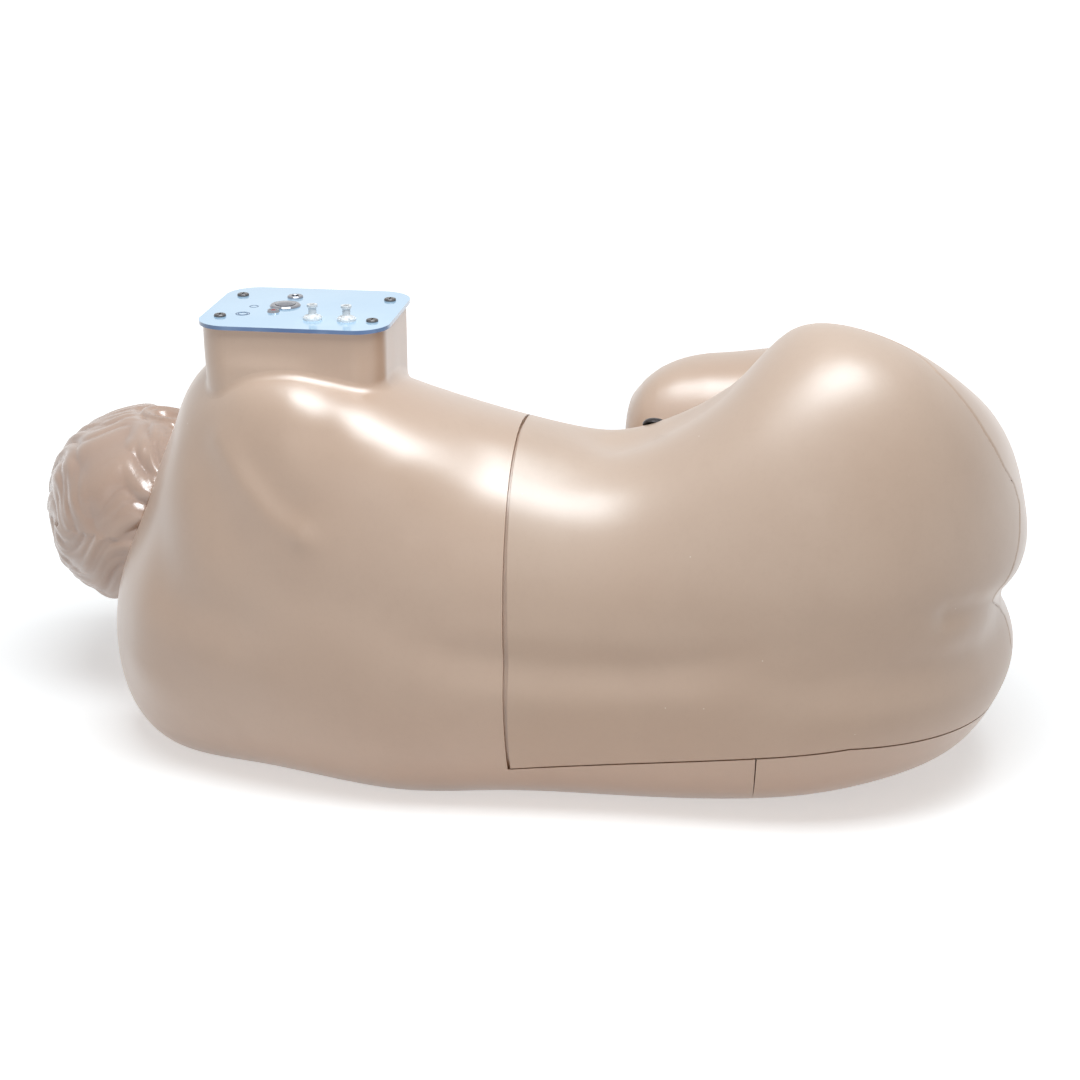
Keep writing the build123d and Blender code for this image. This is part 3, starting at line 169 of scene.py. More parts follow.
def vinyl(name, pale, warm, dull, rough_low, rough_high, coat, specks=0.0, shine=0.36):
    """Cast flesh-coloured vinyl: slow tints, fine orange peel, faint scuffs and a few moulding specks."""
    f = Finish(name, IOR=1.55, Coat_Weight=coat, Coat_Roughness=shine, Coat_IOR=1.95)
    cloud = f.noise(5.5, 2.0)
    drift = f.noise(17.0, 4.0, 0.6)
    base = f.mix(f.ramp(cloud, 0.32, 0.68), pale, warm)
    base = f.mix(f.ramp(drift, 0.45, 0.8, 0.0, 0.35), base, dull)
    mottle = f.noise(260.0, 3.0, 0.65)
    base = f.mix(f.ramp(mottle, 0.5, 0.75, 0.0, 0.12), base, dull)
    if specks:
        cells = f.spots(72.0)
        dot = f.ramp(cells.outputs["Distance"], 0.02, 0.045, 0.8, 0.0)
        split = f.add("ShaderNodeSeparateColor")
        f.put(cells.outputs["Color"], split.inputs[0])
        chosen = f.ramp(split.outputs[0], 1 - specks - 0.01, 1 - specks, 0.0, 1.0)
        base = f.mix(f.maths("MULTIPLY", dot, chosen), base, linear(240, 232, 224))
    f.colour(base)
    scuff = f.noise(9.0, 5.0, 0.62, stretch=(1.0, 2.5, 1.0), distortion=0.4)
    f.rough(f.ramp(scuff, 0.3, 0.75, rough_low, rough_high))
    f.bump(f.noise(900.0, 2.0, 0.5), 0.00003, 0.5)
    f.bump(f.noise(42.0, 2.0, 0.45), 0.00022, 0.35)
    return f


def plastic(name, main, worn, rough_low=0.3, rough_high=0.45, grain=1400.0, depth=0.00003, **values):
    """Moulded plastic or rubber: soft tint variation, fine texture and slightly uneven gloss."""
    f = Finish(name, **values)
    f.colour(f.mix(f.ramp(f.noise(60.0, 4.0, 0.6), 0.35, 0.7), main, worn))
    f.rough(f.ramp(f.noise(130.0, 3.0, 0.6), 0.3, 0.7, rough_low, rough_high))
    f.bump(f.noise(grain, 2.0, 0.5), depth, 0.6)
    return f


def metal(name, main, worn, rough_low, rough_high, stretch=(1.0, 1.0, 14.0)):
    """Turned or plated metal with fine tool marks."""
    f = Finish(name, Metallic=1.0)
    marks = f.noise(900.0, 3.0, 0.6, stretch=stretch)
    f.colour(f.mix(f.ramp(marks, 0.35, 0.7), main, worn))
    f.rough(f.ramp(f.noise(350.0, 4.0, 0.6), 0.3, 0.75, rough_low, rough_high))
    f.bump(marks, 0.00002, 0.5)
    return f


body = vinyl("body_vinyl", linear(204, 174, 151), linear(198, 165, 140), linear(185, 151, 126),
             0.34, 0.46, coat=1.0, specks=0.03)
skin = vinyl("skin_silicone", linear(203, 176, 155), linear(196, 166, 143), linear(183, 152, 129),
             0.38, 0.50, coat=0.9, specks=0.14, shine=0.42)

hair = vinyl("head_vinyl", linear(194, 160, 138), linear(186, 150, 127), linear(172, 136, 113),
             0.30, 0.40, coat=1.0, shine=0.26)
# The hair's colour is mixed towards a darker brown by a point attribute from the head's mesh. This gives a
# slightly darker hair tone all over the hair, and painted shade that deepens in the grooves between the locks
# and leaves their crests paler.
tinted = hair.shader.inputs["Base Color"].links[0].from_socket
hair.colour(hair.mix(hair.ramp(hair.attribute("hair_tone_and_groove_shade"), 0.0, 1.0, 0.0, 0.55), tinted, linear(150, 112, 92)))

acrylic = Finish("panel_acrylic", Roughness=0.07, IOR=1.49, Coat_Weight=0.6, Coat_Roughness=0.03)
# The plate's colour is painted by which way each surface faces: a pale blue top, sides painted darker blue as
# shade, and an underside painted a paler lavender as light. These are lit and shaded copies of one acrylic.
plate_cloud = acrylic.ramp(acrylic.noise(14.0, 3.0), 0.35, 0.7)
plate_top = acrylic.mix(plate_cloud, linear(176, 214, 243), linear(188, 222, 248))
side_cloud = acrylic.ramp(acrylic.noise(24.0, 2.0), 0.4, 0.65)
plate_side_painted_shade = acrylic.mix(side_cloud, linear(72, 118, 184), linear(132, 170, 220))
# Painted light and shade by facing: the underside painted pale, the sides painted dark blue, then the top
# painted pale blue in the next line.
plate_under_and_sides_painted = acrylic.mix(acrylic.ramp(acrylic.facing("Z"), -0.95, -0.15), linear(196, 196, 226), plate_side_painted_shade)
acrylic.colour(acrylic.mix(acrylic.ramp(acrylic.facing("Z"), 0.25, 0.85), plate_under_and_sides_painted, plate_top))
acrylic.rough(acrylic.ramp(acrylic.noise(220.0, 5.0, 0.7), 0.35, 0.8, 0.05, 0.16))
acrylic.bump(acrylic.noise(6.0, 1.0), 0.0002, 0.3)

ink = plastic("panel_ink", linear(40, 66, 110), linear(66, 92, 132), 0.4, 0.55)

steel = metal("steel", linear(118, 116, 116), linear(78, 76, 78), 0.18, 0.34)
chrome = metal("chrome", linear(166, 168, 175), linear(126, 128, 136), 0.05, 0.12)
dark_metal = metal("dark_metal", linear(86, 82, 82), linear(50, 48, 50), 0.22, 0.38)

nylon = plastic("nylon_white", linear(240, 240, 240), linear(230, 231, 232), 0.24, 0.36, IOR=1.5)
lamp = plastic("lamp_red", linear(150, 24, 34), linear(120, 12, 24), 0.08, 0.16,
               IOR=1.5, Coat_Weight=0.5, Coat_Roughness=0.04)
case = plastic("box_plastic", linear(64, 66, 70), linear(50, 52, 56), 0.38, 0.55, grain=700.0, depth=0.00008)

board = plastic("board_green", linear(26, 96, 62), linear(18, 80, 50), 0.22, 0.32, IOR=1.5)
tracks = board.spots(420.0)
track_lines = board.ramp(tracks.outputs["Distance"], 0.16, 0.2, 1.0, 0.0)
board.colour(board.mix(board.maths("MULTIPLY", track_lines, 0.6), linear(24, 92, 60), linear(196, 170, 98)))

wrap = plastic("battery_wrap", linear(42, 94, 156), linear(34, 80, 138), 0.2, 0.34, IOR=1.5)
wrap.bump(wrap.noise(90.0, 4.0, 0.6, stretch=(1.0, 6.0, 1.0)), 0.0003, 0.6)
clear = plastic("clear_plastic", linear(238, 242, 244), linear(228, 234, 238), 0.10, 0.18,
                IOR=1.46, Transmission_Weight=0.35)
tube = plastic("tube_silicone", linear(226, 228, 226), linear(210, 214, 212), 0.2, 0.34,
               IOR=1.41, Transmission_Weight=0.5)
lead = plastic("lead_black", linear(38, 38, 40), linear(28, 28, 30), 0.36, 0.52)

bone = plastic("bone_resin", linear(232, 220, 192), linear(216, 200, 166), 0.42, 0.6, IOR=1.5)
pores = bone.spots(520.0)
bone.bump(bone.ramp(pores.outputs["Distance"], 0.1, 0.5), 0.0002, 0.6)
disc = plastic("disc_rubber", linear(206, 214, 216), linear(188, 198, 202), 0.35, 0.5)
ligament = plastic("ligament_rubber", linear(228, 214, 168), linear(210, 192, 140), 0.35, 0.5)
ligament.bump(ligament.noise(120.0, 4.0, 0.6, stretch=(0.2, 5.0, 5.0)), 0.0004, 0.7)
dura = plastic("dura_silicone", linear(224, 196, 190), linear(208, 176, 170), 0.24, 0.36, IOR=1.41)
tissue = plastic("tissue_silicone", linear(222, 178, 158), linear(206, 158, 138), 0.34, 0.5, IOR=1.41)

finishes = {
    "body_vinyl": body, "skin_silicone": skin, "panel_acrylic": acrylic, "steel": steel, "chrome": chrome,
    "nylon_white": nylon, "lamp_red": lamp, "box_plastic": case, "board_green": board,
    "battery_wrap": wrap, "clear_plastic": clear, "tube_silicone": tube, "lead_black": lead,
    "bone_resin": bone, "disc_rubber": disc, "ligament_rubber": ligament, "dura_silicone": dura,
    "tissue_silicone": tissue, "dark_metal": dark_metal,
}
for node in nodes.values():
    for holder in node.material_slots:
        stem = holder.material.name.split(".")[0]
        holder.material = finishes[stem].material


# Mesh work, in millimetres

def read(node):
    """A CAD node's points, triangles and the normals at their corners."""
    mesh = nodes[node].data
    mesh.calc_loop_triangles()
    points = np.empty(len(mesh.vertices) * 3)
    mesh.vertices.foreach_get("co", points)
    count = len(mesh.loop_triangles)
    faces, loops = np.empty(count * 3, int), np.empty(count * 3, int)
    mesh.loop_triangles.foreach_get("vertices", faces)
    mesh.loop_triangles.foreach_get("loops", loops)
    normals = np.empty(len(mesh.loops) * 3)
    mesh.corner_normals.foreach_get("vector", normals)
    return points.reshape(-1, 3) * 1000, faces.reshape(-1, 3), normals.reshape(-1, 3)[loops].reshape(-1, 3, 3)


def unit(vectors):
    return vectors / np.maximum(np.linalg.norm(vectors, axis=-1, keepdims=True), 1e-12)


def refine(points, faces, normals, longest, rounds=5):
    """Splits, for so many rounds, every edge longer than longest: a length, or a function of the place."""
    for _ in range(rounds):
        pairs = np.sort(np.stack([faces, np.roll(faces, -1, 1)], -1), -1).reshape(-1, 2)
        ends = points[pairs]
        limit = longest(ends.mean(1)) if callable(longest) else longest
        split = (np.linalg.norm(ends[:, 0] - ends[:, 1], axis=1) > limit).reshape(-1, 3)
        if not split.any():
            break
        keys = (pairs[:, 0] * len(points) + pairs[:, 1]).reshape(-1, 3)
        wanted, back = np.unique(keys[split], return_inverse=True)
        middle = np.full(keys.shape, -1)
        middle[split] = len(points) + back
        points = np.vstack([points, (points[wanted // len(points)] + points[wanted % len(points)]) / 2])
        between = unit(normals + np.roll(normals, -1, 1))
        new_faces, new_normals = [], []

        def keep(rows, corners):
            """Each new triangle has three of 0 1 2, the old corners, and 3 4 5, the middles of 01, 12, 20."""
            every = np.concatenate([turned[rows], turned_middle[rows]], 1)
            shading = np.concatenate([turned_normals[rows], turned_between[rows]], 1)
            for corner in corners:
                new_faces.append(every[:, corner])
                new_normals.append(shading[:, corner])

        count = split.sum(1)
        for turn in range(3):
            turned, turned_middle = np.roll(faces, -turn, 1), np.roll(middle, -turn, 1)
            turned_normals, turned_between = np.roll(normals, -turn, 1), np.roll(between, -turn, 1)
            flags = np.roll(split, -turn, 1)
            keep((count == 1) & flags[:, 0], [[0, 3, 2], [3, 1, 2]])
            keep((count == 2) & ~flags[:, 2], [[3, 1, 4], [0, 3, 4], [0, 4, 2]])
            if turn == 0:
                keep(count == 0, [[0, 1, 2]])
                keep(count == 3, [[0, 3, 5], [3, 1, 4], [5, 4, 2], [3, 4, 5]])
        faces, normals = np.vstack(new_faces), np.vstack(new_normals)
    return points, faces, normals


def distance_to(points, path):
    """The distance from each point to a line through the places in path, or to a single place."""
    path = np.array(path, float)
    if len(path) == 1:
        return np.linalg.norm(points - path[0], axis=1)
    nearest = np.full(len(points), np.inf)
    for start, end in zip(path[:-1], path[1:]):
        along = end - start
        share = np.clip(((points - start) @ along) / (along @ along), 0, 1)
        nearest = np.minimum(nearest, np.linalg.norm(points - start - share[:, None] * along, axis=1))
    return nearest


def smooth_step(value, low, high):
    share = np.clip((value - low) / (high - low), 0, 1)
    return share * share * (3 - 2 * share)


# (height in mm, spread in mm, direction, the line or place that it follows)
body_forms = [
    # shoulder corner under the panel's box, upper shoulder blade, flat place before the skin,
    # hollow beside the corner, the blade's ridge and the hollows beside that
    (5.0, 24, (-.12, -.72, .68), [(-205, -62, 320), (-178, -68, 320)]),
    (6.5, 30, (.16, -.76, .62), [(-128, -80, 304), (-98, -90, 280)]),
    (-2.6, 20, (.2, -.60, .76), [(-24, -70, 277), (18, -64, 272)]),
    (-3.6, 15, (.0, -.72, .69), [(-152, -66, 336), (-154, -84, 302)]),
    (1.7, 8, (-.30, -.92, .25), [(-233, -74, 289), (-212, -90, 265), (-188, -101, 242), (-166, -107, 230)]),
    (1.2, 8, (-.18, -.97, .14), [(-159, -109, 226)]),
    (-2.6, 17, (-.42, -.88, .22), [(-250, -70, 276), (-234, -85, 246), (-222, -92, 226)]),
    (-2.0, 13, (-.15, -.95, .26), [(-198, -92, 270), (-174, -101, 248)]),
    # left outline of the upper back
    (-16, 42, (-.93, -.35, .1), [(-322, -10, 262), (-330, -12, 222)]),
    # lower shoulder
    (-2.6, 17, (-.50, -.86, .05), [(-292, -60, 200), (-280, -72, 168), (-255, -86, 152), (-222, -97, 150)]),
    (6.0, 26, (-.62, -.76, -.20), [(-303, -55, 128), (-306, -48, 104)]),
    (2.5, 22, (-.32, -.94, -.10), [(-250, -86, 126), (-196, -103, 120)]),
    # furrow of the spine, its shallower end under the skin, and the soft band below
    (-1.4, 18, (.0, -1., .0), [(-205, -103, 196), (-160, -113, 184), (-88, -118, 168), (-40, -113, 162)]),
    (1.8, 13, (.0, -1., .0), [(-40, -112, 160), (40, -108, 154), (120, -108, 152), (190, -109, 153),
                              (232, -106, 158)]),
    (0.3, 22, (.0, -.98, -.2), [(-120, -112, 120), (0, -108, 112), (120, -106, 110)]),
    # waist: flat on top as far as the snap, and the loin over the hip
    (-15, 24, (.0, -.10, 1.), [(66, 4, 286), (92, 6, 298), (120, 6, 309), (140, 4, 318)]),
    (-6, 30, (.0, -.35, .94), [(60, -38, 280), (118, -40, 300)]),
    (2.5, 26, (.3, -.61, .73), [(235, -58, 350), (272, -48, 346)]),
    # crease between the buttocks and the lower one's fold
    (-5.0, 9, (.80, -.58, -.12), [(366, 20, 162), (349, -29, 172), (332, -54, 176), (316, -72, 176)]),
    (-2.2, 14, (.45, -.89, -.10), [(302, -83, 174), (268, -98, 168), (230, -106, 163)]),
    (2.5, 20, (.80, -.60, -.10), [(338, -42, 140), (322, -64, 138)]),
]


stump_foot, stump_free = 338, 358


def shaped(points):
    """Where the body's sculpted forms move each point to; the shoulder stump's walls stay as they are."""
    moved = points.copy()
    hold = 1 - smooth_step(points[:, 2], stump_foot, stump_free) * (points[:, 0] < -60)
    for height, spread, direction, path in body_forms:
        share = np.exp(-0.5 * (distance_to(points, path) / spread) ** 2) * hold
        moved += (height * share)[:, None] * unit(np.array(direction, float))
    return moved


def turn_normals(move, points, faces, normals, step=0.4):
    """The corner normals after the points have gone where move puts them."""
    base = move(points)
    columns = [(move(points + step * axis) - base) / step for axis in np.eye(3)]
    jacobian = np.stack(columns, -1)
    turned = np.linalg.inv(jacobian).transpose(0, 2, 1)
    return base, unit(np.einsum("fcij,fcj->fci", turned[faces], normals))


def welded(points):
    """For each point the number of the first one at its place."""
    _, first, back = np.unique(np.round(points, 3), axis=0, return_index=True, return_inverse=True)
    return first[back.ravel()]


def point_normals(points, faces):
    """Area-weighted normals that cross the seams between patches."""
    same = welded(points)
    cross = np.cross(points[faces[:, 1]] - points[faces[:, 0]], points[faces[:, 2]] - points[faces[:, 0]])
    total = np.zeros_like(points)
    for corner in range(3):
        np.add.at(total, same[faces[:, corner]], cross)
    return unit(total[same])


def soften(points, faces, normals, weight, rounds, rate=0.5):
    """Evens out the surface where weight is above 0, and shades it there as one smooth surface."""
    same = welded(points)
    pairs = same[np.stack([faces, np.roll(faces, -1, 1)], -1).reshape(-1, 2)]
    pairs = np.unique(np.sort(pairs, 1), axis=0)
    pairs = pairs[pairs[:, 0] != pairs[:, 1]]
    count = np.bincount(pairs.ravel(), minlength=len(points))[:, None]
    place, share = points.copy(), (weight * rate)[:, None]
    for _ in range(rounds):
        total = np.zeros_like(place)
        np.add.at(total, pairs[:, 0], place[pairs[:, 1]])
        np.add.at(total, pairs[:, 1], place[pairs[:, 0]])
        place = place + share * (total / np.maximum(count, 1) - place) * (count > 0)
    place = place[same]
    smooth = point_normals(place, faces)[faces]
    mixed = unit(normals + (smooth - normals) * np.minimum(weight * 3, 1)[faces][..., None])
    return place, mixed


def piece(name, points, faces, normals, material, carried_by="torso"):
    """A mesh object from millimetre points, triangles and corner normals."""
    mesh = bpy.data.meshes.new(name)
    whole = (faces[:, 0] != faces[:, 1]) & (faces[:, 1] != faces[:, 2]) & (faces[:, 2] != faces[:, 0])
    faces, normals = faces[whole], normals[whole]
    used, renumbered = np.unique(faces, return_inverse=True)
    mesh.from_pydata((points[used] / 1000).tolist(), [], renumbered.reshape(-1, 3).tolist())
    mesh.polygons.foreach_set("use_smooth", np.ones(len(faces), bool))
    mesh.normals_split_custom_set(normals.reshape(-1, 3).tolist())
    made = bpy.data.objects.new(name, mesh)
    scene.collection.objects.link(made)
    mesh.materials.append(material.material)
    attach(made, carried_by)
    return made


# Torso, pelvis and skin

thigh_foot, thigh_height = 142, 150
thigh_end, thigh_blend, thigh_growth = 55, 150, 12
drop_places = [55, 58, 63, 74, 85, 102, 119, 145, 175, 200]
drops = [30, 24, 18, 12, 9, 6, 3, 1, -2, 0]


def rounded_thigh(points):
    """The upper thigh's cut end: a little longer, and lower and rounder towards its rim."""
    moved = shaped(points)
    in_front = smooth_step(moved[:, 1], 78, 110)
    drop = np.interp(moved[:, 0], drop_places, drops) * in_front * (moved[:, 2] > thigh_foot)
    near_end = 1 - smooth_step(moved[:, 0], thigh_end, thigh_blend)
    moved[:, 0] -= thigh_growth * near_end * in_front * smooth_step(moved[:, 2], 150, 310)
    moved[:, 2] = thigh_foot + (moved[:, 2] - thigh_foot) * (1 - drop / thigh_height)
    return moved


# where the skin stops at the far end of the hip: the edge's Y at each height
edge_heights = [40, 92, 101, 113, 126, 137, 150, 168, 179, 193, 211, 227, 238, 255, 272, 302, 328, 346,
                360, 368, 390]
edge_places = [90, 90, 52, 34, 36, 36, 22, -14, -18, -9, 1, 8, 14, 8, -5, -14, -16, -15, -4, -1, 4]
edge_turn, edge_slope = 252, 1.3
coarse, fine, finest = 8.0, 4.0, 1.6
edge_band, edge_snap = 12.0, 0.7
notch_width, notch_depth = 1.5, 1.1
torso_end, torso_pull = (173.0, 178.0), 1.0
pelvis_start, pelvis_pull = (179.0, 182.0), 0.4
seam_gap, seam_extra, seam_middle, seam_spread = 0.7, 1.9, 150, 75


def past_edge(points):
    """How far each point is past the skin's far edge, below 0 on the skin."""
    place = np.interp(points[:, 2], edge_heights, edge_places)
    return points[:, 1] - place - edge_slope * np.maximum(edge_turn - points[:, 0], 0)


def thigh_lengths(places):
    return np.where((places[:, 0] < 100) & (places[:, 1] > 70), fine, coarse)


def edge_lengths(places):
    return np.where(np.abs(past_edge(places)) < edge_band, finest, coarse)


torso_points, torso_faces, torso_normals = refine(*read("torso_shell"), coarse)
torso_points, torso_normals = turn_normals(shaped, torso_points, torso_faces, torso_normals)
torso_points[:, 0] -= torso_pull * smooth_step(torso_points[:, 0], *torso_end)
torso = piece("torso_form", torso_points, torso_faces, torso_normals, body)
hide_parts("torso_shell")

hip_points, hip_faces, hip_normals = refine(*read("pelvis_shell"), thigh_lengths, rounds=6)
hip_points, hip_normals = turn_normals(rounded_thigh, hip_points, hip_faces, hip_normals)
at_seam = (1 - smooth_step(hip_points[:, 0], *pelvis_start)) * (hip_points[:, 0] > 177.5)
hip_points[:, 0] += pelvis_pull * at_seam * (hip_points[:, 1] < 60)
hip = piece("pelvis_form", hip_points, hip_faces, hip_normals, body)
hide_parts("pelvis_shell")

skin_points, skin_faces, skin_normals = refine(*read("lumbar_skin"), edge_lengths, rounds=7)
skin_points, skin_normals = turn_normals(shaped, skin_points, skin_faces, skin_normals)
off = past_edge(skin_points)
skin_points[:, 1] -= np.where(np.abs(off) < edge_snap, off, 0)
notch = np.exp(-((past_edge(skin_points) / notch_width) ** 2))
skin_points -= (notch_depth * notch)[:, None] * point_normals(skin_points, skin_faces)
shade_share = smooth_step(notch, 0.02, 0.2)[skin_faces][..., None]
even_normals = point_normals(skin_points, skin_faces)[skin_faces]
skin_normals = unit(skin_normals + (even_normals - skin_normals) * shade_share)
gap = np.exp(-(((skin_points[:, 2] - seam_middle) / seam_spread) ** 2)) * (skin_points[:, 1] < 0)
skin_points[:, 0] += (seam_gap + seam_extra * gap) * (1 - smooth_step(skin_points[:, 0], -12.0, 14.0))
beyond = past_edge(skin_points[skin_faces].mean(1)) > 0
rim = piece("hip_rim_form", skin_points, skin_faces[beyond], skin_normals[beyond], body)
cover = piece("skin_form", skin_points, skin_faces[~beyond], skin_normals[~beyond], skin)
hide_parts("lumbar_skin")


# Head

head_place = np.array([-348.0, 145.0, 162.0])
tilt = math.radians(15)
face_way = np.array([math.sin(tilt), math.cos(tilt), 0.0])
crown_way = np.array([-math.cos(tilt), math.sin(tilt), 0.0])
side_way = np.array([0.0, 0.0, 1.0])
hairline = np.array([(-140, -66), (-62, -50), (-26, -30), (-20, 6), (2, 26), (34, 24), (62, 52), (78, 70),
                     (140, 150), (-140, 150)], float)
even_grain = 0.0019
lock_depth, lock_depth_at_back = 1.0, 2.3
lip_depth, lip_width = 1.3, 1.5


def head_space(points):
    """Points as (towards the face, towards the crown, towards the upper ear)."""
    return (points - head_place) @ np.stack([face_way, crown_way, side_way], 1)


def inside(places, outline):
    """Whether each flat place lies inside a closed outline, and how far it is from it."""
    within = np.zeros(len(places), bool)
    x, y = places.T
    for (x0, y0), (x1, y1) in zip(outline, np.roll(outline, -1, 0)):
        crosses = (y0 > y) != (y1 > y)
        with np.errstate(divide="ignore", invalid="ignore"):
            within ^= crosses & (x < (x1 - x0) * (y - y0) / (y1 - y0) + x0)
    closed = np.vstack([outline, outline[:1]])
    return within, distance_to(places, closed)


def locks(local):
    """Height from about -1 to 1 of soft carved locks that run in waves from the crown to the hairline."""
    forward, crown, side = local.T
    fall = np.arccos(np.clip(crown / np.linalg.norm(local, axis=1), -1, 1))
    turn = np.arctan2(side, forward)
    sway = 0.30 * np.sin(3.1 * fall + 1.7 * turn + 0.4) + 0.13 * np.sin(6.7 * fall - 2.3 * turn + 1.9)
    height = np.zeros(len(local))
    for number, size, seed in ((17, 0.8, 0.3), (26, 0.6, 2.6), (39, 0.25, 4.4)):
        shiver = 0.05 * np.sin(11 * fall + 4 * turn + seed)
        phase = number * (turn + sway + shiver) + 1.6 * np.sin(2.4 * fall + seed)
        wave = 1.8 * np.abs(np.sin(phase / 2)) ** 0.9 - 1
        own = 0.62 + 0.38 * np.sin(3.3 * fall + 2.1 * turn * (1 if seed < 2 else -1) + 2.7 * seed)
        height += size * own * wave
    crossing = np.sin(13 * (fall + 0.28 * np.sin(2 * turn + 0.8)) + 3 * turn)
    return (0.8 * height + 0.22 * crossing) * smooth_step(fall, 0.12, 0.6)


head_source = bpy.data.objects.new("head_source", nodes["head"].data.copy())
scene.collection.objects.link(head_source)
remesh = head_source.modifiers.new("even", "REMESH")
remesh.mode = "VOXEL"
remesh.voxel_size = even_grain
even = bpy.data.meshes.new_from_object(head_source.evaluated_get(bpy.context.evaluated_depsgraph_get()))
bpy.data.objects.remove(head_source)
even.calc_loop_triangles()
head_points = np.empty(len(even.vertices) * 3)
even.vertices.foreach_get("co", head_points)
head_points = head_points.reshape(-1, 3) * 1000
head_faces = np.empty(len(even.loop_triangles) * 3, int)
even.loop_triangles.foreach_get("vertices", head_faces)
head_faces = head_faces.reshape(-1, 3)
blank = np.zeros((len(head_faces), 3, 3))
head_points, _ = soften(head_points, head_faces, blank, np.ones(len(head_points)), 8)

local = head_space(head_points)
outward = point_normals(head_points, head_faces)
in_hair, hair_edge = inside(local[:, :2], hairline)
hair_share = smooth_step(np.where(in_hair, hair_edge, 0), 0.0, 9.0)
lock_height = locks(local) * hair_share
at_back = smooth_step(-local[:, 0], -10, 75)
head_points = head_points + ((lock_depth + lock_depth_at_back * at_back) * lock_height)[:, None] * outward

face_forms = [
    # eye sockets, closed lids, and the crease under each lid
    (-3.5, 11, [(84, -25, 31)]),
    (3.2, 7.5, [(84, -26, 26), (82, -26, 38)]),
    (-1.4, 1.8, [(88, -31, 20), (88, -33, 31), (82, -31, 42)]),
    # brows, cheeks, nostril wings, mouth corners
    (1.6, 5, [(92, -10, 14), (90, -6, 30), (82, -9, 44)]),
    (2.5, 15, [(66, -56, 44)]),
    (2.6, 4.5, [(96, -65, 11)]),
    (-1.6, 2.4, [(88, -86, 23)]),
]
across = local.copy()
across[:, 2] = np.abs(across[:, 2])
for height, spread, path in face_forms:
    share = np.exp(-0.5 * (distance_to(across, path) / spread) ** 2)
    head_points = head_points + (height * share)[:, None] * outward
lips = np.exp(-0.5 * (distance_to(across, [(98, -86.5, 0), (92, -86, 20)]) / lip_width) ** 2)
head_points = head_points - (lip_depth * lips)[:, None] * outward

# the ear: a hollow bowl, a raised rim round it and a groove between them
lean = math.radians(-14)
ear_middle, ear_half_width, ear_half_height = np.array([-6.0, -12.0]), 16, 30
ear_flat = local[:, :2] - ear_middle
ear_flat = ear_flat @ np.array([[math.cos(lean), -math.sin(lean)], [math.sin(lean), math.cos(lean)]])
ear_reach = np.hypot(ear_flat[:, 0] / ear_half_width, ear_flat[:, 1] / ear_half_height)
on_ear = smooth_step(np.abs(local[:, 2]), 66, 72)
bowl = -3.0 * np.exp(-((ear_reach / 0.55) ** 4))
raised_rim = 2.0 * np.exp(-(((ear_reach - 0.86) / 0.13) ** 2))
rim_groove = 1.2 * np.exp(-(((ear_reach - 0.66) / 0.08) ** 2))
head_points = head_points + ((bowl + raised_rim - rim_groove) * on_ear)[:, None] * outward

smooth = point_normals(head_points, head_faces)[head_faces]
head = piece("head_form", head_points, head_faces, smooth, hair)
# How far the hair is darkened: an even darker hair tone, plus painted shade that grows in the grooves between
# the locks. All darkening is gone on the locks' crests.
hair_tone_and_groove_shade = head.data.attributes.new("hair_tone_and_groove_shade", "FLOAT", "POINT")
hair_tone_and_groove_shade.data.foreach_set("value", np.clip(hair_share * (0.3 - 0.6 * lock_height), 0, 1).astype(np.float32))
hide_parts("head")


# Printed rings on the panel

panel_low, panel_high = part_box("control_panel")
panel_top = panel_high.z * 1000
printed_rings = ((-222.0, 4.0, 3.2, 0.35), (-224.5, -19.5, 5.1, 0.4), (-224.5, -19.5, 3.5, 0.35))
steps = 64
ink_height = 0.12
print_points, print_faces = [], []
for x, y, reach, line in printed_rings:
    first = len(print_points)
    for index in range(steps):
        angle = 2 * math.pi * index / steps
        for off, rise in ((line, 0.0), (line * 0.7, ink_height), (-line * 0.7, ink_height), (-line, 0.0)):
            out = reach + off
            print_points.append((x + out * math.cos(angle), y + out * math.sin(angle), panel_top + rise))
    for index in range(steps):
        here, there = first + 4 * index, first + 4 * ((index + 1) % steps)
        for row in range(4):
            nxt = (row + 1) % 4
            print_faces += [(here + row, there + row, there + nxt), (here + row, there + nxt, here + nxt)]
print_points, print_faces = np.array(print_points), np.array(print_faces)
print_normals = point_normals(print_points, print_faces)[print_faces]
rings = piece("panel_print", print_points, print_faces, print_normals, ink)


# Floor, light and camera

floor_half, floor_top = 8, -0.0005
floor_corners = [(floor_half * x, floor_half * y, floor_top) for x, y in ((-1, -1), (1, -1), (1, 1), (-1, 1))]
floor_mesh = bpy.data.meshes.new("floor")
floor_mesh.from_pydata(floor_corners, [], [(0, 1, 2, 3)])
floor = bpy.data.objects.new("floor", floor_mesh)
scene.collection.objects.link(floor)
ground = bpy.data.materials.new("floor_pale")
ground.use_nodes = True
tree = ground.node_tree
tree.nodes.clear()


def seen_directly(tree):
    """1 for camera, mirror and see-through rays, else 0."""
    path = tree.nodes.new("ShaderNodeLightPath")
    total = path.outputs["Is Camera Ray"]
    for kind in ("Is Glossy Ray", "Is Transmission Ray"):
        larger = tree.nodes.new("ShaderNodeMath")
        larger.operation = "MAXIMUM"
        tree.links.new(total, larger.inputs[0])
        tree.links.new(path.outputs[kind], larger.inputs[1])
        total = larger.outputs[0]
    return total


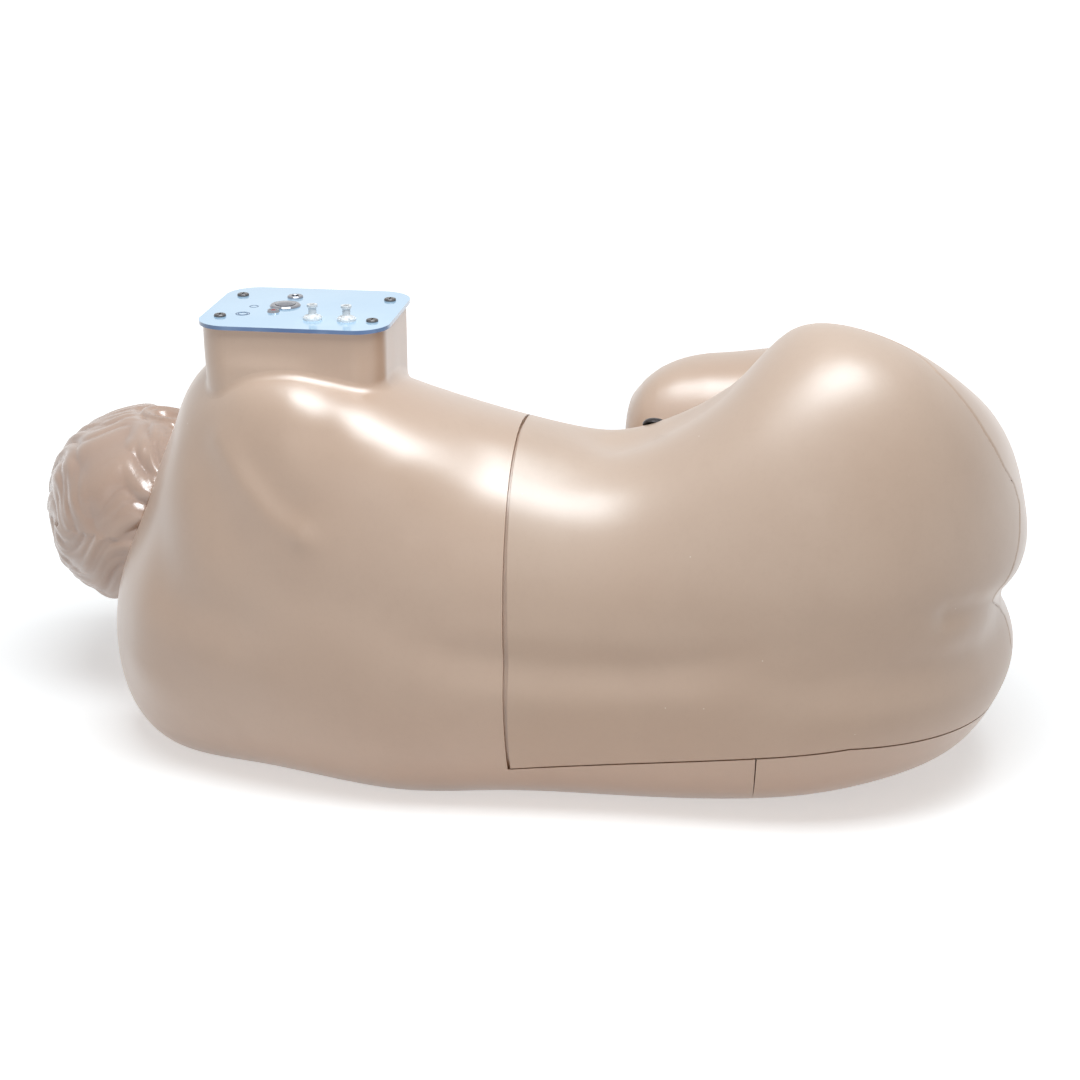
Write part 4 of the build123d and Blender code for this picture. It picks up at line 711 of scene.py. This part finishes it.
lit = tree.nodes.new("ShaderNodeBsdfDiffuse")
lit.inputs["Color"].default_value = linear(214, 190, 164)
glow = tree.nodes.new("ShaderNodeEmission")
both = tree.nodes.new("ShaderNodeAddShader")
pale = tree.nodes.new("ShaderNodeBsdfDiffuse")
pale.inputs["Color"].default_value = linear(240, 240, 240)
spread = tree.nodes.new("ShaderNodeTexCoord")
reach = tree.nodes.new("ShaderNodeVectorMath")
reach.operation = "LENGTH"
tree.links.new(spread.outputs["Object"], reach.inputs[0])
far = tree.nodes.new("ShaderNodeMapRange")
far.inputs["From Min"].default_value, far.inputs["From Max"].default_value = 0.45, 1.6
far.inputs["To Min"].default_value, far.inputs["To Max"].default_value = 0.5, 1.0
tree.links.new(reach.outputs["Value"], far.inputs["Value"])
tree.links.new(far.outputs["Result"], glow.inputs["Strength"])
tree.links.new(pale.outputs[0], both.inputs[0])
tree.links.new(glow.outputs[0], both.inputs[1])
choose = tree.nodes.new("ShaderNodeMixShader")
tree.links.new(seen_directly(tree), choose.inputs[0])
tree.links.new(lit.outputs[0], choose.inputs[1])
tree.links.new(both.outputs[0], choose.inputs[2])
tree.links.new(choose.outputs[0], tree.nodes.new("ShaderNodeOutputMaterial").inputs["Surface"])
floor_mesh.materials.append(ground)

world = bpy.data.worlds.new("studio")
world.use_nodes = True
scene.world = world
sky = world.node_tree.nodes["Background"]
sky.inputs["Color"].default_value = (1.0, 1.0, 1.0, 1.0)
level = world.node_tree.nodes.new("ShaderNodeMapRange")
level.inputs["To Min"].default_value = 0.17
level.inputs["To Max"].default_value = 1.0
world.node_tree.links.new(seen_directly(world.node_tree), level.inputs["Value"])
world.node_tree.links.new(level.outputs["Result"], sky.inputs["Strength"])


def softbox(name, place, target, width, depth, power, colour):
    data = bpy.data.lights.new(name, "AREA")
    data.shape = "RECTANGLE"
    data.size, data.size_y, data.energy, data.color = width, depth, power, colour
    lamp_object = bpy.data.objects.new(name, data)
    lamp_object.location = place
    lamp_object.rotation_euler = (Vector(target) - Vector(place)).to_track_quat("-Z", "Y").to_euler()
    scene.collection.objects.link(lamp_object)


softbox("key", (0.16, -0.46, 1.72), (0.03, 0.0, 0.2), 1.3, 0.8, 25.0, (0.89, 0.96, 1.0))
softbox("fill", (-0.5, -2.5, 0.75), (0.0, 0.0, 0.2), 2.2, 1.0, 3.2, (0.93, 0.97, 1.0))

camera_place, camera_target = (0.2223, -1.5819, 0.7764), (0.0, 0.0, 0.195)
camera_data = bpy.data.cameras.new("camera")
camera_data.lens, camera_data.sensor_width = 72.67, 36.0
camera_data.clip_end = 50.0
camera = bpy.data.objects.new("camera", camera_data)
camera.location = camera_place
camera.rotation_mode = "QUATERNION"
aim = Vector(camera_target) - Vector(camera.location)
camera.rotation_quaternion = aim.to_track_quat("-Z", "Y")
scene.collection.objects.link(camera)
scene.camera = camera
scene.view_settings.view_transform = "Standard"
